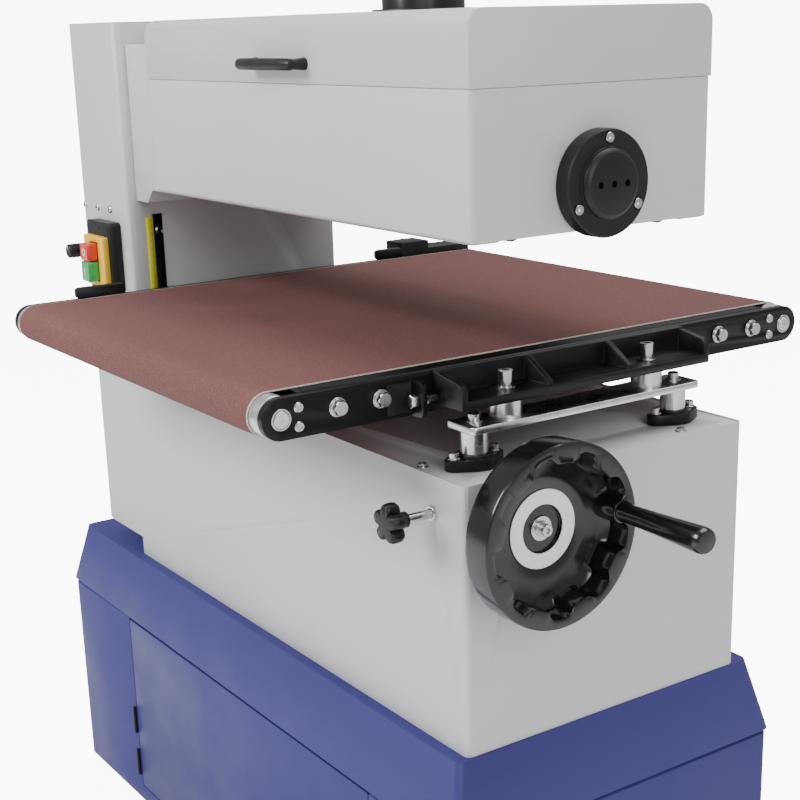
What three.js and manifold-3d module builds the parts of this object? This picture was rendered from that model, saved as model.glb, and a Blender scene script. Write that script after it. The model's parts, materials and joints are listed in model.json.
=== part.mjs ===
// Open-end drum sander on a cabinet, with a powered conveyor table that a handwheel raises and lowers.
// Units are millimetres and +Z is up. Every size below is in the machine's own frame:
// X = 0 is the open end of the base housing, Y = 0 its operator side, Z = 0 its top face.
// +X points out of the open end and +Y towards the outfeed side.
// The finished group is moved so that its origin is under the middle of its outer box, on the floor.
import * as THREE from 'three';
import { mergeVertices } from 'three/addons/utils/BufferGeometryUtils.js';
import Module from 'manifold-3d';

const wasm = await Module();
wasm.setup();

// Driving dimensions
const GAP = 0.3; // between pieces that touch
const SHEET = 3; // sheet-metal wall
const FLOOR_Z = -730;
const CENTRE_Y = 203; // middle of the table, the posts and the base

const CABINET = { left: -1014, right: 2, front: -15, rear: 431, top: -308, seam: -399, bottom: -715 };
const CABINET_HIP = 22; // how far the cabinet's sloping shoulder widens it
const SEAM_STEP = 2; // the lower panels stand back from the shoulder by this much
const DOOR = { left: -822, right: -150, bottom: -690, top: -403.5 };
const GROOVE = { depth: 3, bottom: 6.5 }; // dark line below the shoulder
const LATCH_RADIUS = 16;
const FOOT = { radius: 25, inset: 60, insetY: 50 };

const BASE = { left: -950, right: 0, front: 0, rear: 408, bottom: -307.7, top: 0 };
const BASE_BEND = 9;
const BASE_NOTCH = { right: -825, top: -281, corner: 16 }; // under the column
const LEDGE = 18; // width of the ledge that the lid lies on
const LID = { bottom: -4, top: -1 };

const COLUMN = { left: -950, right: -788, front: 0, rear: 343, top: 470 };
const COLUMN_BEND = 12;
const SLOT = { front: 38, rear: 54, bottom: 66, top: 207 };
const SCALE = { front: 27, rear: 37.5, thickness: 2 };

const HEAD = { left: -706, right: 9, front: 8, rear: 330, bottom: 246, top: 395 };
const HEAD_BEND = 8;
const ARM = { front: 16, rear: 322, bottom: 228, top: 440, width: 45, chamfer: 18 };
const FLOOR_SLOT = { front: 45, rear: 293 }; // opening of the head's floor around the drum
const COVER_TOP = 470;
const COVER_BEND = 18;
const PORT = { radius: 50, bore: 46, flange: 62, height: 50 };

const DRUM_Y = 169;
const DRUM_Z = 296;
const DRUM_RADIUS = 52;
const DRUM_SHAFT_RADIUS = 15;
const PRESSURE_OFFSET = 100; // from the drum's axis to each pressure roller's
const PRESSURE_RADIUS = 14;
const PRESSURE_Z = 258;

const ROLLER_PITCH = 727;
const ROLLER_Z = 82;
const ROLLER_RADIUS = 22.4;
const ROLLER_SHAFT_RADIUS = 9;
const BELT_THICKNESS = 1.3;
const BELT = { left: -750, right: -112 };
const RAIL_THICKNESS = 10;
const RAIL_HALF_HEIGHT = 22;
const NEAR_RAIL = -85; // outer face of the rail at the open end
const FAR_RAIL = -772; // outer face of the rail at the column
const GUIDE_HEIGHT = 15;

const POST_RADIUS = 15;
const POST_PITCH = 292; // between the two posts of one side
const NEAR_POST_X = -57;
const FAR_POST_X = -742;
const NEAR_BAR = { bottom: 41, top: 49 };
const FAR_BAR = { bottom: 27.7, top: 35.7 };
const BRACKET = { front: 24, rear: 382, bottom: 69, top: 104.5, outer: -32 };
const SPACER_PITCH = 206;

const WHEEL_Y = 71;
const WHEEL_Z = -49;
const WHEEL_RADIUS = 100;
const WHEEL = { back: 38, front: 75 };
const GRIP_ARM = 81; // from the wheel's axis to the grip's
const GRIP_END = 196;
const GRIP_TURN = 0.136; // the grip's place around the wheel, in radians above +Y
const WHEEL_LOBES = 9;
const LOBE = { radius: 10, arm: 89 };

const LIFT_SCREW_X = -400;
const JACK_Z = -262;
const BEVEL_RADIUS = 24;
const BEVEL_TEETH = 12;
const SPROCKET_RADIUS = 24;
const CHAIN = { left: -36, right: -28, thickness: 6 };
const YOKE = { bottom: -202, top: -192 };

const LOCK_Z = -42;
const LOCK = { front: -62, rear: -40, lobes: 5, lobeRadius: 7.5 };

const MOTOR_Z = 100;
const DRUM_PULLEY_RADIUS = 52;
const DRUM_MOTOR_RADIUS = 58;
const MOTOR_PULLEY_RADIUS = 32;
const PULLEY = { left: -930, right: -906 };

const SWITCH = { left: -894, right: -814, front: -18, bottom: 96, top: 196 };
const PLATE = { halfWidth: 34, bottom: 104, top: 176, thickness: 9 };
const BUTTONS = { halfWidth: 13, reach: 16, stop: [141.5, 166.5], start: [111.5, 140.5] };
const SPEED_KNOB = { x: -927, z: 147, radius: 10.5, front: -38 };

// Directions for prisms and turned pieces: local x and y of the outline, and the direction it runs along
const X_AXIS = new THREE.Vector3(1, 0, 0);
const Y_AXIS = new THREE.Vector3(0, 1, 0);
const Z_AXIS = new THREE.Vector3(0, 0, 1);

function solidOf(geometry) {
  const bare = geometry.clone();
  bare.deleteAttribute('normal');
  bare.deleteAttribute('uv');
  const merged = mergeVertices(bare, 1e-4);
  const mesh = new wasm.Mesh({
    numProp: 3,
    vertProperties: new Float32Array(merged.attributes.position.array),
    triVerts: new Uint32Array(merged.index.array),
  });
  return new wasm.Manifold(mesh);
}

function geometryOf(solid) {
  const mesh = solid.getMesh();
  const geometry = new THREE.BufferGeometry();
  geometry.setAttribute('position', new THREE.BufferAttribute(mesh.vertProperties, 3));
  geometry.setIndex(new THREE.BufferAttribute(mesh.triVerts, 1));
  geometry.computeVertexNormals();
  return geometry;
}

function joined(...solids) {
  return solids.reduce((all, one) => all.add(one));
}

// A box between two corners
function block(x0, x1, y0, y1, z0, z1) {
  const geometry = new THREE.BoxGeometry(x1 - x0, y1 - y0, z1 - z0);
  geometry.translate((x0 + x1) / 2, (y0 + y1) / 2, (z0 + z1) / 2);
  return solidOf(geometry);
}

// A straight prism of an outline: along x the outline is in (y, z), along y in (x, z), along z in (x, y)
function prism(axis, shape, from, to, curveSegments = 4) {
  const geometry = new THREE.ExtrudeGeometry(shape, { depth: to - from, bevelEnabled: false, curveSegments });
  const place = new THREE.Matrix4();
  if (axis === 'x') {
    place.makeBasis(Y_AXIS, Z_AXIS, X_AXIS);
    place.setPosition(from, 0, 0);
  } else if (axis === 'y') {
    place.makeBasis(X_AXIS, Z_AXIS, Y_AXIS.clone().negate());
    place.setPosition(0, to, 0);
  } else {
    place.setPosition(0, 0, from);
  }
  geometry.applyMatrix4(place);
  return solidOf(geometry);
}

// A round bar along an axis; a and b are its centre in the two other axes, in X, Y, Z order
function rod(axis, radius, from, to, a, b, sides = 20) {
  const geometry = new THREE.CylinderGeometry(radius, radius, to - from, sides);
  const middle = (from + to) / 2;
  if (axis === 'x') {
    geometry.rotateZ(Math.PI / 2);
    geometry.translate(middle, a, b);
  } else if (axis === 'y') {
    geometry.translate(a, middle, b);
  } else {
    geometry.rotateX(Math.PI / 2);
    geometry.translate(a, b, middle);
  }
  return solidOf(geometry);
}

// A turned piece: profile points are [radius, distance along the axis]
function turned(axis, profile, a, b, sides = 32) {
  const points = profile.map(([radius, along]) => new THREE.Vector2(radius, along));
  const geometry = new THREE.LatheGeometry(points, sides);
  if (axis === 'x') {
    geometry.rotateZ(-Math.PI / 2);
    geometry.translate(0, a, b);
  } else if (axis === 'y') {
    geometry.translate(a, 0, b);
  } else {
    geometry.rotateX(Math.PI / 2);
    geometry.translate(a, b, 0);
  }
  return solidOf(geometry);
}

function polygon(points) {
  return new THREE.Shape(points.map(([a, b]) => new THREE.Vector2(a, b)));
}

// A rectangle with one corner radius
function roundedRect(a0, a1, b0, b1, r) {
  const shape = new THREE.Shape();
  shape.absarc(a1 - r, b0 + r, r, -Math.PI / 2, 0, false);
  shape.absarc(a1 - r, b1 - r, r, 0, Math.PI / 2, false);
  shape.absarc(a0 + r, b1 - r, r, Math.PI / 2, Math.PI, false);
  shape.absarc(a0 + r, b0 + r, r, Math.PI, 1.5 * Math.PI, false);
  shape.closePath();
  return shape;
}

// The outline of a loop around two circles, one at (a0, b0) and one at (a1, b1)
function loopOutline(a0, b0, r0, a1, b1, r1) {
  const distance = Math.hypot(a1 - a0, b1 - b0);
  const heading = Math.atan2(b1 - b0, a1 - a0);
  const lean = Math.acos((r0 - r1) / distance);
  const shape = new THREE.Shape();
  shape.absarc(a0, b0, r0, heading + lean, heading + 2 * Math.PI - lean, false);
  shape.absarc(a1, b1, r1, heading - lean, heading + lean, false);
  shape.closePath();
  return shape;
}

// A closed belt or chain in the Y-Z plane
function loopBand(circles, inner, thickness, left, right, curveSegments) {
  const [[y0, z0, r0], [y1, z1, r1]] = circles;
  const outerR = inner + thickness;
  const outer = prism('x', loopOutline(y0, z0, r0 + outerR, y1, z1, r1 + outerR), left, right, curveSegments);
  const hole = loopOutline(y0, z0, r0 + inner, y1, z1, r1 + inner);
  return outer.subtract(prism('x', hole, left - 1, right + 1, curveSegments));
}

// A solid through level outlines with the same number of points
function loft(levels) {
  const count = levels[0].points.length;
  const positions = levels.flatMap(({ points, z }) => points.flatMap((p) => [p.x, p.y, z]));
  const index = [];
  for (let level = 0; level < levels.length - 1; level += 1) {
    for (let i = 0; i < count; i += 1) {
      const a = level * count + i;
      const b = level * count + ((i + 1) % count);
      index.push(a, b, b + count, a, b + count, a + count);
    }
  }
  const last = (levels.length - 1) * count;
  for (const [i, j, k] of THREE.ShapeUtils.triangulateShape(levels[0].points, [])) {
    index.push(k, j, i);
    index.push(last + i, last + j, last + k);
  }
  const geometry = new THREE.BufferGeometry();
  geometry.setAttribute('position', new THREE.Float32BufferAttribute(positions, 3));
  geometry.setIndex(index);
  return solidOf(geometry);
}

const FINISHES = {
  grey_paint: { color: 0xc4c5c6, roughness: 0.45, metalness: 0 },
  blue_paint: { color: 0x4d5296, roughness: 0.4, metalness: 0 },
  black_paint: { color: 0x17181a, roughness: 0.45, metalness: 0.1 },
  black_gloss: { color: 0x101112, roughness: 0.2, metalness: 0 },
  black_plastic: { color: 0x1c1c1e, roughness: 0.5, metalness: 0 },
  steel: { color: 0xb9babb, roughness: 0.3, metalness: 1 },
  abrasive: { color: 0x7a5450, roughness: 0.95, metalness: 0 },
  aluminium: { color: 0xc8c9ca, roughness: 0.4, metalness: 1 },
  rubber: { color: 0x222222, roughness: 0.8, metalness: 0 },
  yellow: { color: 0xe0b52a, roughness: 0.5, metalness: 0 },
  red: { color: 0xc8322c, roughness: 0.4, metalness: 0 },
  green: { color: 0x2f9a4a, roughness: 0.4, metalness: 0 },
};

const machine = new THREE.Group();

function addPart(name, solid, finish) {
  const mesh = new THREE.Mesh(geometryOf(solid), new THREE.MeshStandardMaterial(FINISHES[finish]));
  mesh.name = name;
  machine.add(mesh);
}

// Cabinet: a shell with a sloping shoulder, open at the door, on four welded feet
function cabinetOutline(inset, spread) {
  const shape = roundedRect(
    CABINET.left - spread + inset, CABINET.right + spread - inset,
    CABINET.front - spread + inset, CABINET.rear + spread - inset, 12 - inset);
  return shape.getPoints(3).slice(0, -1);
}

function cabinetBody(inset) {
  const panel = CABINET_HIP - SEAM_STEP;
  return loft([
    { points: cabinetOutline(inset, panel), z: CABINET.bottom + inset },
    { points: cabinetOutline(inset, panel), z: CABINET.seam - GROOVE.bottom },
    { points: cabinetOutline(inset, panel - GROOVE.depth), z: CABINET.seam - GROOVE.bottom + 2 },
    { points: cabinetOutline(inset, panel - GROOVE.depth), z: CABINET.seam - 3 },
    { points: cabinetOutline(inset, CABINET_HIP), z: CABINET.seam - 1 },
    { points: cabinetOutline(inset, CABINET_HIP), z: CABINET.seam },
    { points: cabinetOutline(inset, 0), z: CABINET.top - inset },
  ]);
}

function makeCabinet() {
  const face = CABINET.front - CABINET_HIP + SEAM_STEP;
  const opening = block(DOOR.left, DOOR.right, face - 5, face + 10, DOOR.bottom, DOOR.top);
  let shell = cabinetBody(0).subtract(cabinetBody(SHEET)).subtract(opening);
  for (const x of [CABINET.left + FOOT.inset, CABINET.right - FOOT.inset]) {
    for (const y of [CABINET.front + FOOT.insetY, CABINET.rear - FOOT.insetY]) {
      shell = shell.add(rod('z', FOOT.radius, FLOOR_Z, CABINET.bottom + 1, x, y, 20));
    }
  }
  addPart('cabinet_shell', shell, 'blue_paint');
  const door = prism('y', roundedRect(DOOR.left + 2, DOOR.right - 2, DOOR.bottom + 2, DOOR.top - 2, 4),
    face, face + 4, 3);
  addPart('cabinet_door', door, 'blue_paint');
  const latchX = DOOR.right - 40;
  const latchZ = (DOOR.bottom + DOOR.top) / 2;
  const dial = rod('y', LATCH_RADIUS, face - 6 - GAP, face - GAP, latchX, latchZ, 24);
  const wing = block(latchX - 4, latchX + 4, face - 18, face - 5 - GAP,
    latchZ - LATCH_RADIUS + 2, latchZ + LATCH_RADIUS - 2);
  addPart('door_latch', dial.add(wing), 'black_plastic');
}

// Base housing: four bent walls with a ledge for the lid
function makeBase() {
  const walls = prism('z', roundedRect(BASE.left, BASE.right, BASE.front, BASE.rear, BASE_BEND),
    BASE.bottom, BASE.top);
  const inner = roundedRect(BASE.left + SHEET, BASE.right - SHEET, BASE.front + SHEET, BASE.rear - SHEET,
    BASE_BEND - SHEET);
  const hollow = prism('z', inner, BASE.bottom - 1, BASE.top + 1);
  const ledgeTop = LID.bottom - GAP;
  const ledge = prism('z', inner, ledgeTop - SHEET, ledgeTop).subtract(block(BASE.left + LEDGE,
    BASE.right - LEDGE, BASE.front + LEDGE, BASE.rear - LEDGE, ledgeTop - SHEET - 1, ledgeTop + 1));
  const notch = block(BASE.left - 1, BASE_NOTCH.right, BASE.front - 1, BASE.rear + 1, BASE.bottom - 1,
    BASE_NOTCH.top);
  const { corner } = BASE_NOTCH;
  const cornerX = BASE.left + corner;
  const cornerZ = BASE_NOTCH.top + corner;
  const cut = block(BASE.left - 1, cornerX, BASE.front - 1, BASE.rear + 1, BASE_NOTCH.top - 1, cornerZ)
    .subtract(rod('y', corner, BASE.front - 2, BASE.rear + 2, cornerX, cornerZ, 32));
  const housing = joined(walls.subtract(hollow), ledge)
    .subtract(rod('x', 9.3, -5, 5, WHEEL_Y, WHEEL_Z))
    .subtract(rod('y', 5.3, -5, 8, NEAR_POST_X, LOCK_Z))
    .subtract(notch)
    .subtract(cut);
  addPart('base_housing', housing, 'grey_paint');

  let lid = block(COLUMN.right + GAP, BASE.right - SHEET - GAP, BASE.front + SHEET + GAP,
    BASE.rear - SHEET - GAP, LID.bottom, LID.top);
  for (const [x, y] of postPlaces()) {
    lid = lid.subtract(rod('z', POST_RADIUS + 1, -6, 2, x, y));
  }
  const corners = prism('z', roundedRect(BASE.left, BASE.right - SHEET - GAP, BASE.front + SHEET + GAP,
    BASE.rear - SHEET - GAP, BASE_BEND - SHEET), -6, 2);
  addPart('base_lid', lid.intersect(corners), 'grey_paint');
}

function postPlaces() {
  const places = [];
  for (const x of [NEAR_POST_X, FAR_POST_X]) {
    for (const side of [-1, 1]) {
      places.push([x, CENTRE_Y + side * POST_PITCH / 2]);
    }
  }
  return places;
}

// Column: a tall bent-sheet box, open underneath, with the height slot and the drum shaft's hole
function makeColumn() {
  const outer = prism('z', roundedRect(COLUMN.left, COLUMN.right, COLUMN.front, COLUMN.rear, COLUMN_BEND),
    BASE.top + GAP, COLUMN.top);
  const inner = prism('z', roundedRect(COLUMN.left + SHEET, COLUMN.right - SHEET, COLUMN.front + SHEET,
    COLUMN.rear - SHEET, COLUMN_BEND - SHEET), BASE.top - 1, COLUMN.top - SHEET);
  const slot = block(COLUMN.right - 10, COLUMN.right + 5, SLOT.front, SLOT.rear, SLOT.bottom, SLOT.top);
  const shaftHole = rod('x', 22, COLUMN.right - 10, COLUMN.right + 5, DRUM_Y, DRUM_Z);
  addPart('column', outer.subtract(inner).subtract(slot).subtract(shaftHole), 'grey_paint');
  const scale = block(COLUMN.right + GAP, COLUMN.right + GAP + SCALE.thickness, SCALE.front, SCALE.rear,
    SLOT.bottom, SLOT.top - 4);
  addPart('height_scale', scale, 'yellow');
}

// Head: a hollow beam whose floor is open around the drum, with a neck that meets the column
function makeHead() {
  const bend = HEAD_BEND;
  const neckX = COLUMN.right + GAP;
  const section = roundedRect(HEAD.front, HEAD.rear, HEAD.bottom, HEAD.top + 40, bend);
  const trim = block(HEAD.left - 1, HEAD.right + 1, HEAD.front - 1, HEAD.rear + 1, HEAD.bottom - 1, HEAD.top);
  const box = prism('x', section, HEAD.left, HEAD.right).intersect(trim);
  const ends = prism('z', roundedRect(HEAD.left, HEAD.right, HEAD.front, HEAD.rear, bend),
    HEAD.bottom, HEAD.top);
  const face = prism('y', roundedRect(HEAD.left, HEAD.right, HEAD.bottom, HEAD.top + 40, bend),
    HEAD.front, HEAD.rear);
  const shell = box.intersect(ends).intersect(face).subtract(block(HEAD.left + SHEET, HEAD.right - SHEET,
    HEAD.front + SHEET, HEAD.rear - SHEET, HEAD.bottom + SHEET, HEAD.top + 1));
  const neckOutline = polygon([
    [neckX, ARM.bottom], [HEAD.left - ARM.width, ARM.bottom],
    [HEAD.left - ARM.width + ARM.chamfer, HEAD.bottom],
    [HEAD.left + 1, HEAD.bottom], [HEAD.left + 1, HEAD.top], [HEAD.left - GAP, HEAD.top],
    [HEAD.left - GAP, ARM.top], [neckX, ARM.top]]);
  const neck = prism('y', neckOutline, ARM.front, ARM.rear);
  const neckHollow = block(neckX - 1, HEAD.left - SHEET, ARM.front + SHEET, ARM.rear - SHEET,
    HEAD.bottom + SHEET, ARM.top - SHEET);
  const floorSlot = block(HEAD.left + SHEET, HEAD.right - SHEET, FLOOR_SLOT.front, FLOOR_SLOT.rear,
    HEAD.bottom - 5, HEAD.bottom + 10);
  const head = joined(shell, neck.subtract(neckHollow)).subtract(floorSlot)
    .subtract(rod('x', 22, HEAD.left - 10, HEAD.left + 10, DRUM_Y, DRUM_Z))
    .subtract(rod('x', 22, HEAD.right - 8, HEAD.right + 5, DRUM_Y, DRUM_Z));
  addPart('head_housing', head, 'grey_paint');
}

// Drum cover: the hinged top of the head, with the dust port standing on it
function makeCover() {
  const bottom = HEAD.top + GAP;
  const outer = prism('x', roundedRect(HEAD.front, HEAD.rear, bottom - 40, COVER_TOP, COVER_BEND), HEAD.left,
    HEAD.right).intersect(block(HEAD.left, HEAD.right, HEAD.front, HEAD.rear, bottom, COVER_TOP));
  const hollow = prism('x', roundedRect(HEAD.front + SHEET, HEAD.rear - SHEET, bottom - 40,
    COVER_TOP - SHEET, COVER_BEND - SHEET), HEAD.left + SHEET, HEAD.right - SHEET);
  const portX = (HEAD.left + HEAD.right) / 2;
  const portY = DRUM_Y + 40;
  const port = rod('z', PORT.radius, COVER_TOP - 10, COVER_TOP + 10, portX, portY, 24);
  addPart('drum_cover', outer.subtract(hollow).subtract(port), 'grey_paint');
  const [bore, wall, top] = [PORT.bore, PORT.radius, COVER_TOP + PORT.height];
  const spigot = [[bore, COVER_TOP - 8], [wall - 1, COVER_TOP - 8], [wall - 1, COVER_TOP + GAP],
    [PORT.flange, COVER_TOP + GAP], [PORT.flange, COVER_TOP + 4], [wall, COVER_TOP + 4], [wall, top],
    [bore, top],
    [bore, COVER_TOP - 8]];
  addPart('dust_port', turned('z', spigot, portX, portY, 24), 'black_plastic');
}

function makeDrum() {
  const [x0, x1] = [HEAD.left + 14, HEAD.right - 21];
  const bore = DRUM_SHAFT_RADIUS + GAP;
  const wall = DRUM_RADIUS - 8;
  const drum = [[bore, x0], [DRUM_RADIUS, x0], [DRUM_RADIUS, x1], [bore, x1], [bore, x1 - 12],
    [wall, x1 - 12], [wall, x0 + 12], [bore, x0 + 12], [bore, x0]];
  addPart('sanding_drum', turned('x', drum, DRUM_Y, DRUM_Z, 36), 'aluminium');
  addPart('drum_shaft', rod('x', DRUM_SHAFT_RADIUS, PULLEY.left - 6, HEAD.right + 12, DRUM_Y, DRUM_Z), 'steel');
  const bearings = [['drum_bearing_open_end', HEAD.right - SHEET - GAP - 14],
    ['drum_bearing_column', COLUMN.right + GAP * 2]];
  for (const [name, x] of bearings) {
    const ring = rod('x', 30, x, x + 14, DRUM_Y, DRUM_Z)
      .subtract(rod('x', bore, x - 1, x + 15, DRUM_Y, DRUM_Z));
    addPart(name, ring, 'steel');
  }
  for (const [name, side] of [['pressure_roller_infeed', -1], ['pressure_roller_outfeed', 1]]) {
    const y = DRUM_Y + side * PRESSURE_OFFSET;
    const roller = rod('x', PRESSURE_RADIUS, x0, x1 + 8, y, PRESSURE_Z, 20)
      .add(rod('x', 5, HEAD.left + SHEET + GAP, HEAD.right - SHEET - GAP, y, PRESSURE_Z, 12));
    addPart(name, roller, 'rubber');
  }
  const front = HEAD.right + 27;
  const cover = [[0, HEAD.right + 17], [20, HEAD.right + 17], [20, HEAD.right + GAP], [55, HEAD.right + GAP],
    [55, front - 9], [53, front - 7], [37, front - 7], [33, front], [0, front]];
  addPart('bearing_cover', turned('x', cover, DRUM_Y, DRUM_Z, 32), 'black_plastic');
}

function makeDrive() {
  const width = [PULLEY.left, PULLEY.right];
  const drumPulley = rod('x', DRUM_PULLEY_RADIUS, ...width, DRUM_Y, DRUM_Z, 28)
    .subtract(rod('x', DRUM_SHAFT_RADIUS + GAP, PULLEY.left - 1, PULLEY.right + 1, DRUM_Y, DRUM_Z));
  addPart('drum_pulley', drumPulley, 'aluminium');
  const motorPulley = rod('x', MOTOR_PULLEY_RADIUS, ...width, DRUM_Y, MOTOR_Z, 24)
    .add(rod('x', 12, PULLEY.right - 1, PULLEY.right + 6, DRUM_Y, MOTOR_Z));
  addPart('motor_pulley', motorPulley, 'aluminium');
  const motorLeft = PULLEY.right + 6 + GAP;
  const motor = joined(rod('x', DRUM_MOTOR_RADIUS, motorLeft, COLUMN.right - 10, DRUM_Y, MOTOR_Z, 24),
    block(motorLeft + 10, COLUMN.right - SHEET - GAP, DRUM_Y - 60, DRUM_Y + 60, MOTOR_Z - 66, MOTOR_Z - 50));
  addPart('drum_motor', motor, 'black_paint');
  const circles = [[DRUM_Y, DRUM_Z, DRUM_PULLEY_RADIUS], [DRUM_Y, MOTOR_Z, MOTOR_PULLEY_RADIUS]];
  addPart('drive_belt', loopBand(circles, GAP, 5, PULLEY.left + 3, PULLEY.right - 3, 8), 'rubber');
}

// Controls on the column's operator side
function makeControls() {
  const middle = (SWITCH.left + SWITCH.right) / 2;
  const rear = COLUMN.front - GAP;
  const face = prism('y', roundedRect(SWITCH.left, SWITCH.right, SWITCH.bottom, SWITCH.top, 6),
    SWITCH.front, rear, 3);
  addPart('switch_box', face, 'black_plastic');
  const plateRear = SWITCH.front - GAP;
  const plateFront = plateRear - PLATE.thickness;
  const plateOutline = roundedRect(middle - PLATE.halfWidth, middle + PLATE.halfWidth, PLATE.bottom,
    PLATE.top, 4);
  const plate = prism('y', plateOutline, plateFront, plateRear, 3);
  const half = BUTTONS.halfWidth;
  const pocket = block(middle - half - 1, middle + half + 1, plateFront - 5, plateRear + 5,
    BUTTONS.start[0] - 1, BUTTONS.stop[1] + 1);
  addPart('switch_plate', plate.subtract(pocket), 'yellow');
  for (const [name, [low, high], finish] of [['stop_button', BUTTONS.stop, 'red'],
    ['start_button', BUTTONS.start, 'green']]) {
    const outline = roundedRect(middle - half, middle + half, low, high, 3);
    addPart(name, prism('y', outline, plateFront - BUTTONS.reach, plateFront + 1, 3), finish);
  }
  const { radius, front } = SPEED_KNOB;
  const knob = [[0, front], [radius - 1.5, front], [radius, front + 2], [radius, -6], [radius - 1.5, -5],
    [radius - 1.5, rear], [0, rear]];
  addPart('speed_knob', turned('y', knob, SPEED_KNOB.x, SPEED_KNOB.z, 20), 'black_plastic');
}

// Conveyor table
function rollerPlaces() {
  return [CENTRE_Y - ROLLER_PITCH / 2, CENTRE_Y + ROLLER_PITCH / 2];
}

function makeRail(name, outer, inner, shaftEnd) {
  const [front, rear] = rollerPlaces();
  const outline = loopOutline(front, ROLLER_Z, RAIL_HALF_HEIGHT, rear, ROLLER_Z, RAIL_HALF_HEIGHT);
  let rail = prism('x', outline, Math.min(outer, inner), Math.max(outer, inner), 10);
  const side = Math.sign(outer - inner);
  for (const y of [front, rear]) {
    rail = rail.subtract(rod('x', ROLLER_SHAFT_RADIUS + GAP, Math.min(outer, inner) - 5,
      Math.max(outer, inner) + 5, y, ROLLER_Z));
  }
  const lugFrom = outer - side;
  const lugTo = outer + side * 22;
  if (shaftEnd) {
    const clip = roundedRect(lugFrom - 8, lugTo, ROLLER_Z - RAIL_HALF_HEIGHT, ROLLER_Z + 17, 8);
    const inside = block(lugFrom, lugTo + 1, -5, 3, ROLLER_Z - 25, ROLLER_Z + 20);
    const ear = prism('y', clip, -4, 2, 3).intersect(inside);
    const foot = block(lugFrom, outer + 1, -34, -3, ROLLER_Z - 18, ROLLER_Z + 15);
    rail = rail.add(ear.subtract(rod('y', 5, -10, 10, outer + side * 10, ROLLER_Z - 4, 12))).add(foot);
  }
  addPart(name, rail, 'black_paint');
}

function makeTable() {
  makeRail('side_rail_open_end', NEAR_RAIL, NEAR_RAIL - RAIL_THICKNESS, true);
  makeRail('side_rail_column', FAR_RAIL, FAR_RAIL + RAIL_THICKNESS, false);
  const inside = [FAR_RAIL + RAIL_THICKNESS + GAP, NEAR_RAIL - RAIL_THICKNESS - GAP];
  const [front, rear] = rollerPlaces();
  const bedTop = ROLLER_Z + ROLLER_RADIUS;
  const bed = block(...inside, front + 28, rear - 28, ROLLER_Z - 18, bedTop)
    .subtract(block(inside[0] + 4, inside[1] - 4, front + 20, rear - 20, ROLLER_Z - 20, bedTop - 4));
  addPart('table_bed', bed, 'black_paint');
  const names = [['infeed_roller', front], ['drive_roller', rear]];
  for (const [name, y] of names) {
    const roller = rod('x', ROLLER_RADIUS, inside[0] + 0.5, inside[1] - 0.5, y, ROLLER_Z, 32)
      .add(rod('x', ROLLER_SHAFT_RADIUS, FAR_RAIL - 0.5, NEAR_RAIL + 2, y, ROLLER_Z, 24));
    addPart(name, roller, 'aluminium');
  }
  const circles = [[front, ROLLER_Z, ROLLER_RADIUS], [rear, ROLLER_Z, ROLLER_RADIUS]];
  addPart('conveyor_belt', loopBand(circles, GAP, BELT_THICKNESS, BELT.left, BELT.right, 16), 'abrasive');

  const railTop = ROLLER_Z + RAIL_HALF_HEIGHT + GAP;
  const guides = [['side_guide_infeed', -95, -22], ['side_guide_outfeed', 400, 448]];
  for (const [name, y0, y1] of guides) {
    const outline = roundedRect(y0, y1, railTop, railTop + GUIDE_HEIGHT, 5);
    const bar = prism('x', outline, FAR_RAIL + 0.5, FAR_RAIL + RAIL_THICKNESS, 3);
    addPart(name, bar, 'black_plastic');
  }
  const motorX = FAR_RAIL - 1;
  const gearmotor = joined(block(motorX - 45, motorX, rear - 62, rear + 20, ROLLER_Z - 24, ROLLER_Z + 30),
    rod('x', 30, motorX - 120, motorX - 44, rear - 30, ROLLER_Z, 24),
    block(motorX - 44, motorX, rear - 112, rear - 60, ROLLER_Z + 2, ROLLER_Z + 42));
  addPart('conveyor_gearmotor', gearmotor, 'black_paint');

  const screwX = NEAR_RAIL + 10;
  const screwZ = ROLLER_Z - 4;
  const tension = joined(rod('y', 7.5, -12, -4 - GAP, screwX, screwZ, 6), rod('y', 4, -6, BRACKET.front - GAP,
    screwX, screwZ, 12), rod('y', 7.5, 2 + GAP, 8, screwX, screwZ, 6));
  addPart('tension_screw', tension, 'steel');
}

// Cast bracket at the open end: a web, a flange and four ribs
function makeBrackets() {
  const web = NEAR_RAIL + GAP;
  const outer = BRACKET.outer;
  const body = joined(
    block(web, web + 10, BRACKET.front, BRACKET.rear, BRACKET.bottom, BRACKET.top),
    block(web, outer, BRACKET.front, BRACKET.rear, BRACKET.bottom, BRACKET.bottom + 10));
  const endRib = polygon([[web, 70], [outer, 70], [outer, 90], [outer - 6, 97], [web, BRACKET.top]]);
  const midRib = polygon([[web, 75], [outer - 3, 75], [outer - 3, 83], [web + 14, BRACKET.top],
    [web, BRACKET.top]]);
  let bracket = body;
  for (const y of [BRACKET.front, BRACKET.rear - 8]) {
    bracket = bracket.add(prism('y', endRib, y, y + 8));
  }
  for (const y of [141, 257]) {
    bracket = bracket.add(prism('y', midRib, y, y + 8));
  }
  addPart('bracket_open_end', bracket, 'black_paint');

  const farWeb = FAR_RAIL - GAP;
  const farBottom = FAR_BAR.top + GAP;
  const far = joined(block(farWeb - 9.7, farWeb, BRACKET.front, BRACKET.rear, farBottom, ROLLER_Z + 18),
    block(farWeb - 9.7, -716, BRACKET.front, BRACKET.rear, farBottom, farBottom + 10));
  addPart('bracket_column', far, 'black_paint');
  const pointer = block(farWeb - 30, farWeb - 10, 42, 50, ROLLER_Z - 3, ROLLER_Z + 3);
  addPart('height_pointer', pointer, 'steel');
}

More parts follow.
